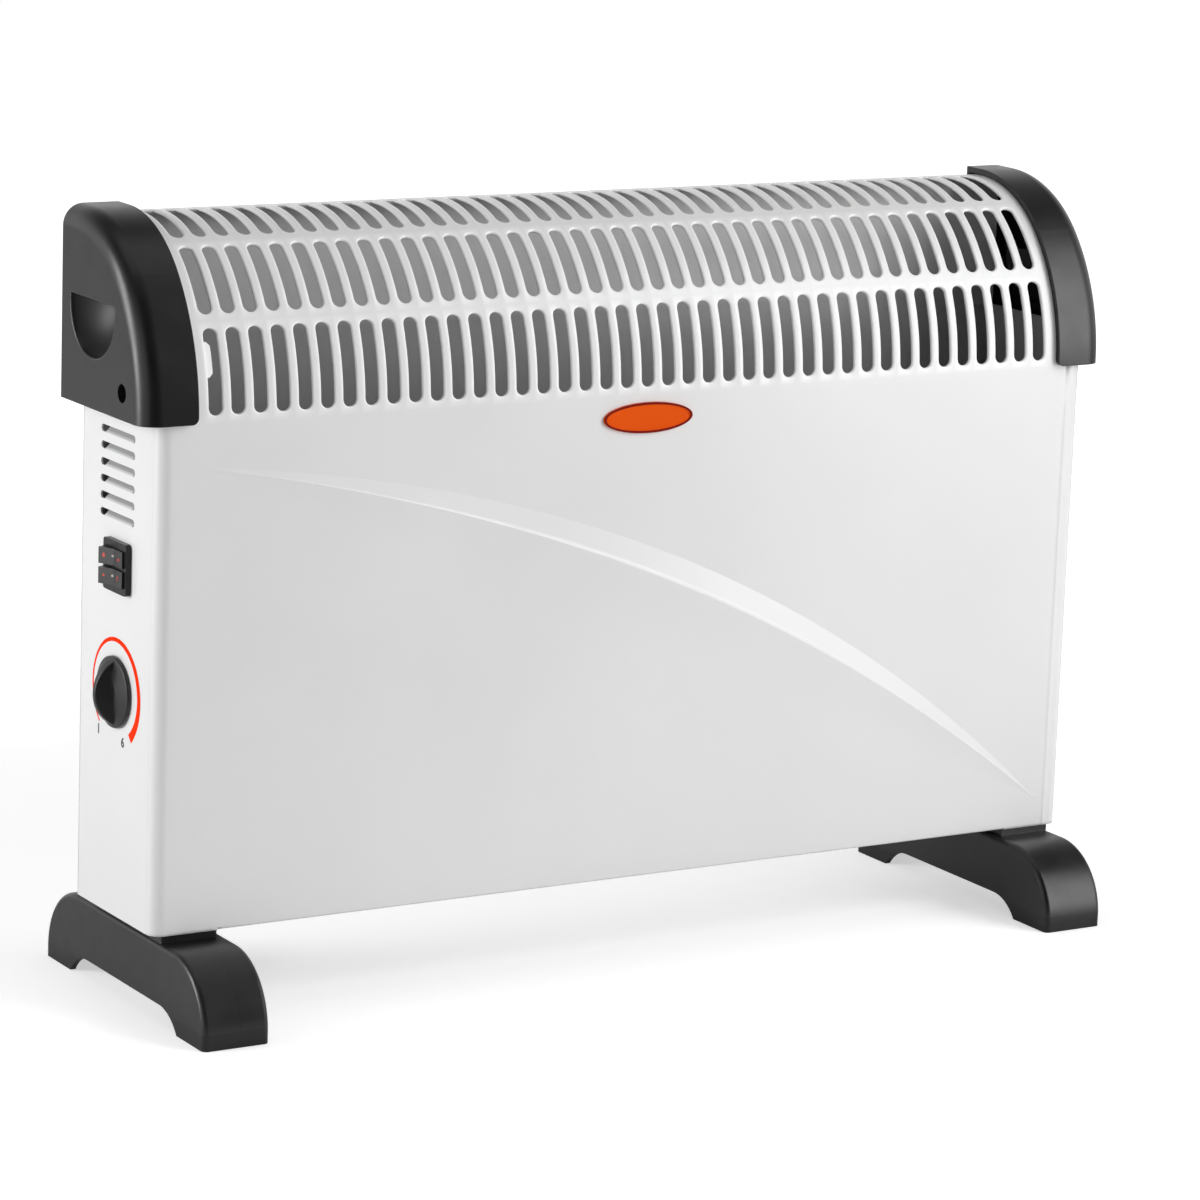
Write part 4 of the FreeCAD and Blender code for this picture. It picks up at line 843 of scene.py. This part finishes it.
def buildDialSweep(look):
    points, faces = [], []
    for step in range(look["steps"] + 1):
        t = step / look["steps"]
        angle = math.radians(look["startDegree"] + (look["endDegree"] - look["startDegree"]) * t)
        width = float(np.interp(t, *look["widths"]))
        inner, outer = look["radius"] - width / 2, look["radius"] + width / 2
        for radius, lift in ((inner, 0.0), (inner, look["ink"]), (outer, look["ink"]), (outer, 0.0)):
            points.append(((wallX - lift) * mm, (knobY + radius * math.cos(angle)) * mm,
                           (knobZ + radius * math.sin(angle)) * mm))
    sides = 4   # of the band's section
    for step in range(look["steps"]):
        for side in range(sides):
            a, b = step * sides + side, step * sides + (side + 1) % sides
            faces.append((a, b, b + sides, a + sides))
    last = look["steps"] * sides
    faces.append(tuple(reversed(range(sides))))
    faces.append(tuple(range(last, last + sides)))
    piece = linkMesh("dialSweep", points, faces, materials["dialRed"])
    turnOutwards(piece)
    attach(piece, "casing")


def buildNumeral(name, word, spot, look):
    letters = bpy.data.curves.new(name + "Curve", "FONT")
    letters.body = word
    letters.size = look["numeralSize"] * mm
    letters.align_x = "CENTER"
    letters.align_y = "CENTER"
    letters.extrude = look["ink"] * mm
    letters.offset = look["numeralBold"] * mm
    text = bpy.data.objects.new(name + "Text", letters)
    scene.collection.objects.link(text)
    bpy.context.view_layer.update()
    mesh = bpy.data.meshes.new_from_object(text)
    bpy.data.objects.remove(text)
    turned = Matrix(((0, 0, -1, wallX * mm), (-1, 0, 0, (knobY + spot[0]) * mm),
                     (0, 1, 0, (knobZ + spot[1]) * mm), (0, 0, 0, 1)))
    mesh.transform(turned)
    mesh.name = name
    mesh.materials.clear()
    mesh.materials.append(materials["dialInk"])
    piece = bpy.data.objects.new(name, mesh)
    scene.collection.objects.link(piece)
    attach(piece, "casing")


buildDialSweep(dial)
buildNumeral("dialNumeralLow", dial["lowNumeral"], dial["lowSpot"], dial)
buildNumeral("dialNumeralHigh", dial["highNumeral"], dial["highSpot"], dial)
print("dial: sweep and numerals on the left side")


# rocker marks: small paint-filled strokes laid on each rocker's face
rockerMarks = {   # kind, place along Y and Z, half width, half height, mm
    "lift": 0.07, "sink": 0.05, "castFrom": 20.0, "steps": 20,
    "upper_rocker": (("stroke", 4.6, 0.3, 0.75, 1.2),
                     ("stroke", -6.4, -0.4, 0.85, 0.9),
                     ("dot", -0.6, 0.5, 0.8, 0.6)),
    "lower_rocker": (("stroke", 4.6, 0.3, 0.7, 0.75),
                     ("stroke", -5.6, 0.2, 0.6, 1.3),
                     ("dot", -0.6, 0.6, 0.8, 0.7)),
}
materials["markRed"] = makeFinish("markRed", "mouldGrain", {
    "Deep": (0.5, 0.03, 0.015, 1), "Pale": (0.62, 0.045, 0.02, 1), "Grain Scale": 2500.0,
    "Rough Low": 0.35, "Rough High": 0.45}, 0.003, {"Specular IOR Level": 0.5})
materials["markPale"] = makeFinish("markPale", "mouldGrain", {
    "Deep": (0.34, 0.32, 0.28, 1), "Pale": (0.45, 0.42, 0.37, 1), "Grain Scale": 2500.0,
    "Rough Low": 0.35, "Rough High": 0.45}, 0.003, {"Specular IOR Level": 0.5})


def buildMarks(body, look):
    source = nodes[body]
    corners = [vert.co.copy() for vert in source.data.vertices]
    tree = BVHTree.FromPolygons(corners, [tuple(face.vertices) for face in source.data.polygons])
    low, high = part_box(body)
    middleY, middleZ = (low.y + high.y) / 2, (low.z + high.z) / 2
    castX = low.x - look["castFrom"] * mm
    for index, (kind, y, z, halfWide, halfTall) in enumerate(look[body]):
        points, faces = [], []
        for lift in (-look["sink"], look["lift"]):
            for step in range(look["steps"]):
                angle = 2 * math.pi * step / look["steps"]
                spotY = middleY + (y + halfWide * math.cos(angle)) * mm
                spotZ = middleZ + (z + halfTall * math.sin(angle)) * mm
                hit = tree.ray_cast(Vector((castX, spotY, spotZ)), Vector((1, 0, 0)))[0]
                points.append((hit.x - lift * mm, spotY, spotZ))
        count = look["steps"]
        for step in range(count):
            following = (step + 1) % count
            faces.append((step, following, count + following, count + step))
        faces.append(tuple(reversed(range(count))))
        faces.append(tuple(range(count, 2 * count)))
        finish = materials["markPale" if kind == "dot" else "markRed"]
        piece = linkMesh(body + "Mark" + str(index + 1), points, faces, finish)
        turnOutwards(piece)
        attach(piece, body)


for rocker in ("upper_rocker", "lower_rocker"):
    buildMarks(rocker, rockerMarks)
print("rocker marks placed")


# stage: pale floor, soft lamps, white surround
stage = {
    "floorSize": 9.0, "floorDrop": 0.0002, "nearReach": 0.5, "farReach": 1.2,   # metres
    "floorTint": grey(0.84), "cloudTint": grey(0.8274), "cloudScale": 3.0, "cloudDetail": 3.0,
    "nearGlow": 0.53, "farGlow": 1.0, "mirrorGlow": 0.2,
    "roomLight": 0.4, "ceilingLight": 0.12, "wallMirror": 1.0, "ceilingMirror": 0.1, "wallRise": (0.3, 0.75),
}
lamps = (   # name, place, aim, width, height, watts
    ("leftSoftbox", (-2.28, 0.65, 0.7), (-0.28, 0.0, 0.25), 0.75, 1.4, 34.5),
    ("frontSoftbox", (1.25, -1.55, 1.1), (0.1, 0.0, 0.5), 1.2, 2.3, 34.5),
    ("topSoftbox", (0.0, -0.1, 2.4), (0.0, 0.0, 0.3), 2.2, 1.4, 6.0),
)


def linkSheet(name, width, height, finish):
    x, y = width / 2, height / 2
    return linkMesh(name, [(-x, -y, 0), (x, -y, 0), (x, y, 0), (-x, y, 0)], [(0, 1, 2, 3)], finish)


def aimAt(aim, place):
    return (Vector(aim) - Vector(place)).to_track_quat("-Z", "Y").to_euler()


def buildFloor(look):
    material = bpy.data.materials.new("paleFloor")
    material.use_nodes = True
    tree = material.node_tree
    tree.nodes.clear()
    output = addNode(tree, "ShaderNodeOutputMaterial")
    place = addNode(tree, "ShaderNodeTexCoord").outputs["Object"]
    cloud = addRange(tree, addNoise(tree, place, look["cloudScale"], look["cloudDetail"]), *spread)
    tint = addTint(tree, cloud, look["floorTint"], look["cloudTint"])
    matt = addNode(tree, "ShaderNodeBsdfDiffuse")
    tree.links.new(tint, matt.inputs["Color"])
    glow = addNode(tree, "ShaderNodeEmission")
    path = addNode(tree, "ShaderNodeLightPath")
    mirrored = addMath(tree, "MULTIPLY", path.outputs["Is Glossy Ray"], look["mirrorGlow"])
    seen = addMath(tree, "MAXIMUM", path.outputs["Is Camera Ray"], mirrored)
    seen = addMath(tree, "MAXIMUM", seen, path.outputs["Is Transmission Ray"])
    reach = addNode(tree, "ShaderNodeVectorMath", operation="LENGTH")
    tree.links.new(place, reach.inputs[0])
    level = addRange(tree, reach.outputs["Value"], look["nearReach"], look["farReach"],
                     look["nearGlow"], look["farGlow"])
    tree.links.new(addMath(tree, "MULTIPLY", seen, level), glow.inputs["Strength"])
    both = addNode(tree, "ShaderNodeAddShader")
    tree.links.new(matt.outputs[0], both.inputs[0])
    tree.links.new(glow.outputs[0], both.inputs[1])
    tree.links.new(both.outputs[0], output.inputs["Surface"])
    floor = linkSheet("studioFloor", look["floorSize"], look["floorSize"], material)
    floor.location.z = -look["floorDrop"]
    floor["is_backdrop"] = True


def buildRoom(look):   # white to the camera; pale walls under a dim ceiling for everything else
    world = bpy.data.worlds.new("whiteRoom")
    scene.world = world
    world.use_nodes = True
    tree = world.node_tree
    tree.nodes.clear()
    output = addNode(tree, "ShaderNodeOutputWorld")
    axes = addNode(tree, "ShaderNodeSeparateXYZ")
    tree.links.new(addNode(tree, "ShaderNodeTexCoord").outputs["Generated"], axes.inputs["Vector"])
    up = axes.outputs["Z"]
    wallLight = addRange(tree, up, *look["wallRise"], look["roomLight"], look["ceilingLight"])
    wallMirror = addRange(tree, up, *look["wallRise"], look["wallMirror"], look["ceilingMirror"])
    path = addNode(tree, "ShaderNodeLightPath")
    glossy = path.outputs["Is Glossy Ray"]
    level = addRange(tree, glossy, 0.0, 1.0, wallLight, wallMirror)
    soft = addNode(tree, "ShaderNodeBackground", {"Color": (1, 1, 1, 1)})
    tree.links.new(level, soft.inputs["Strength"])
    white = addNode(tree, "ShaderNodeBackground", {"Color": (1, 1, 1, 1), "Strength": 1.0})
    seen = addMath(tree, "MAXIMUM", path.outputs["Is Camera Ray"], path.outputs["Is Transmission Ray"])
    mixed = addNode(tree, "ShaderNodeMixShader")
    tree.links.new(seen, mixed.inputs["Fac"])
    tree.links.new(soft.outputs[0], mixed.inputs[1])
    tree.links.new(white.outputs[0], mixed.inputs[2])
    tree.links.new(mixed.outputs[0], output.inputs["Surface"])


def buildLamps(rows):
    for name, place, aim, width, height, watts in rows:
        data = bpy.data.lights.new(name, "AREA")
        data.shape = "RECTANGLE"
        data.size = width
        data.size_y = height
        data.energy = watts
        lamp = bpy.data.objects.new(name, data)
        lamp.location = place
        lamp.rotation_euler = aimAt(aim, place)
        scene.collection.objects.link(lamp)


# dark card: seen only in reflections, so that the black caps' fronts stay deep
card = {"centre": (-0.23, -0.55, 0.5), "aim": (-0.23, 0.0, 0.5), "width": 1.24, "height": 1.5}


def buildCard(look):
    material = makeFinish("darkCard", "mouldGrain", {
        "Deep": grey(0.01), "Pale": grey(0.014), "Grain Scale": 400.0,
        "Rough Low": 0.9, "Rough High": 1.0}, 0.01, {"Specular IOR Level": 0.0})
    piece = linkSheet("darkCard", look["width"], look["height"], material)
    piece.location = look["centre"]
    piece.rotation_euler = aimAt(look["aim"], look["centre"])
    piece.visible_camera = False
    piece.visible_diffuse = False
    piece.visible_shadow = False
    piece.visible_transmission = False
    piece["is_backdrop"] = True


# camera at the photograph's viewing angle
camera = {
    "lens": 143.79, "sensor": 36.0, "shiftX": 0.00847, "shiftY": -0.00902,
    "place": (-1.28171, -2.10167, 0.72069), "turn": (77.856, -2.001, -30.845), "clip": (0.05, 50.0),
}


def buildCamera(look):
    data = bpy.data.cameras.new("photoCamera")
    data.sensor_width = look["sensor"]
    data.lens = look["lens"]
    data.shift_x = look["shiftX"]
    data.shift_y = look["shiftY"]
    data.clip_start, data.clip_end = look["clip"]
    eye = bpy.data.objects.new("photoCamera", data)
    eye.location = look["place"]
    eye.rotation_euler = tuple(math.radians(angle) for angle in look["turn"])
    scene.collection.objects.link(eye)
    scene.camera = eye


buildFloor(stage)
buildRoom(stage)
buildLamps(lamps)
buildCard(card)
buildCamera(camera)
scene.view_settings.view_transform = "Standard"
print("stage, lamps and camera ready")

visualLow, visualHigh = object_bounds()
visualSize = [round(value, 4) for value in visualHigh - visualLow]
cadSize = [round(value, 4) for value in cadHigh - cadLow]
print("size:", visualSize, "CAD", cadSize)
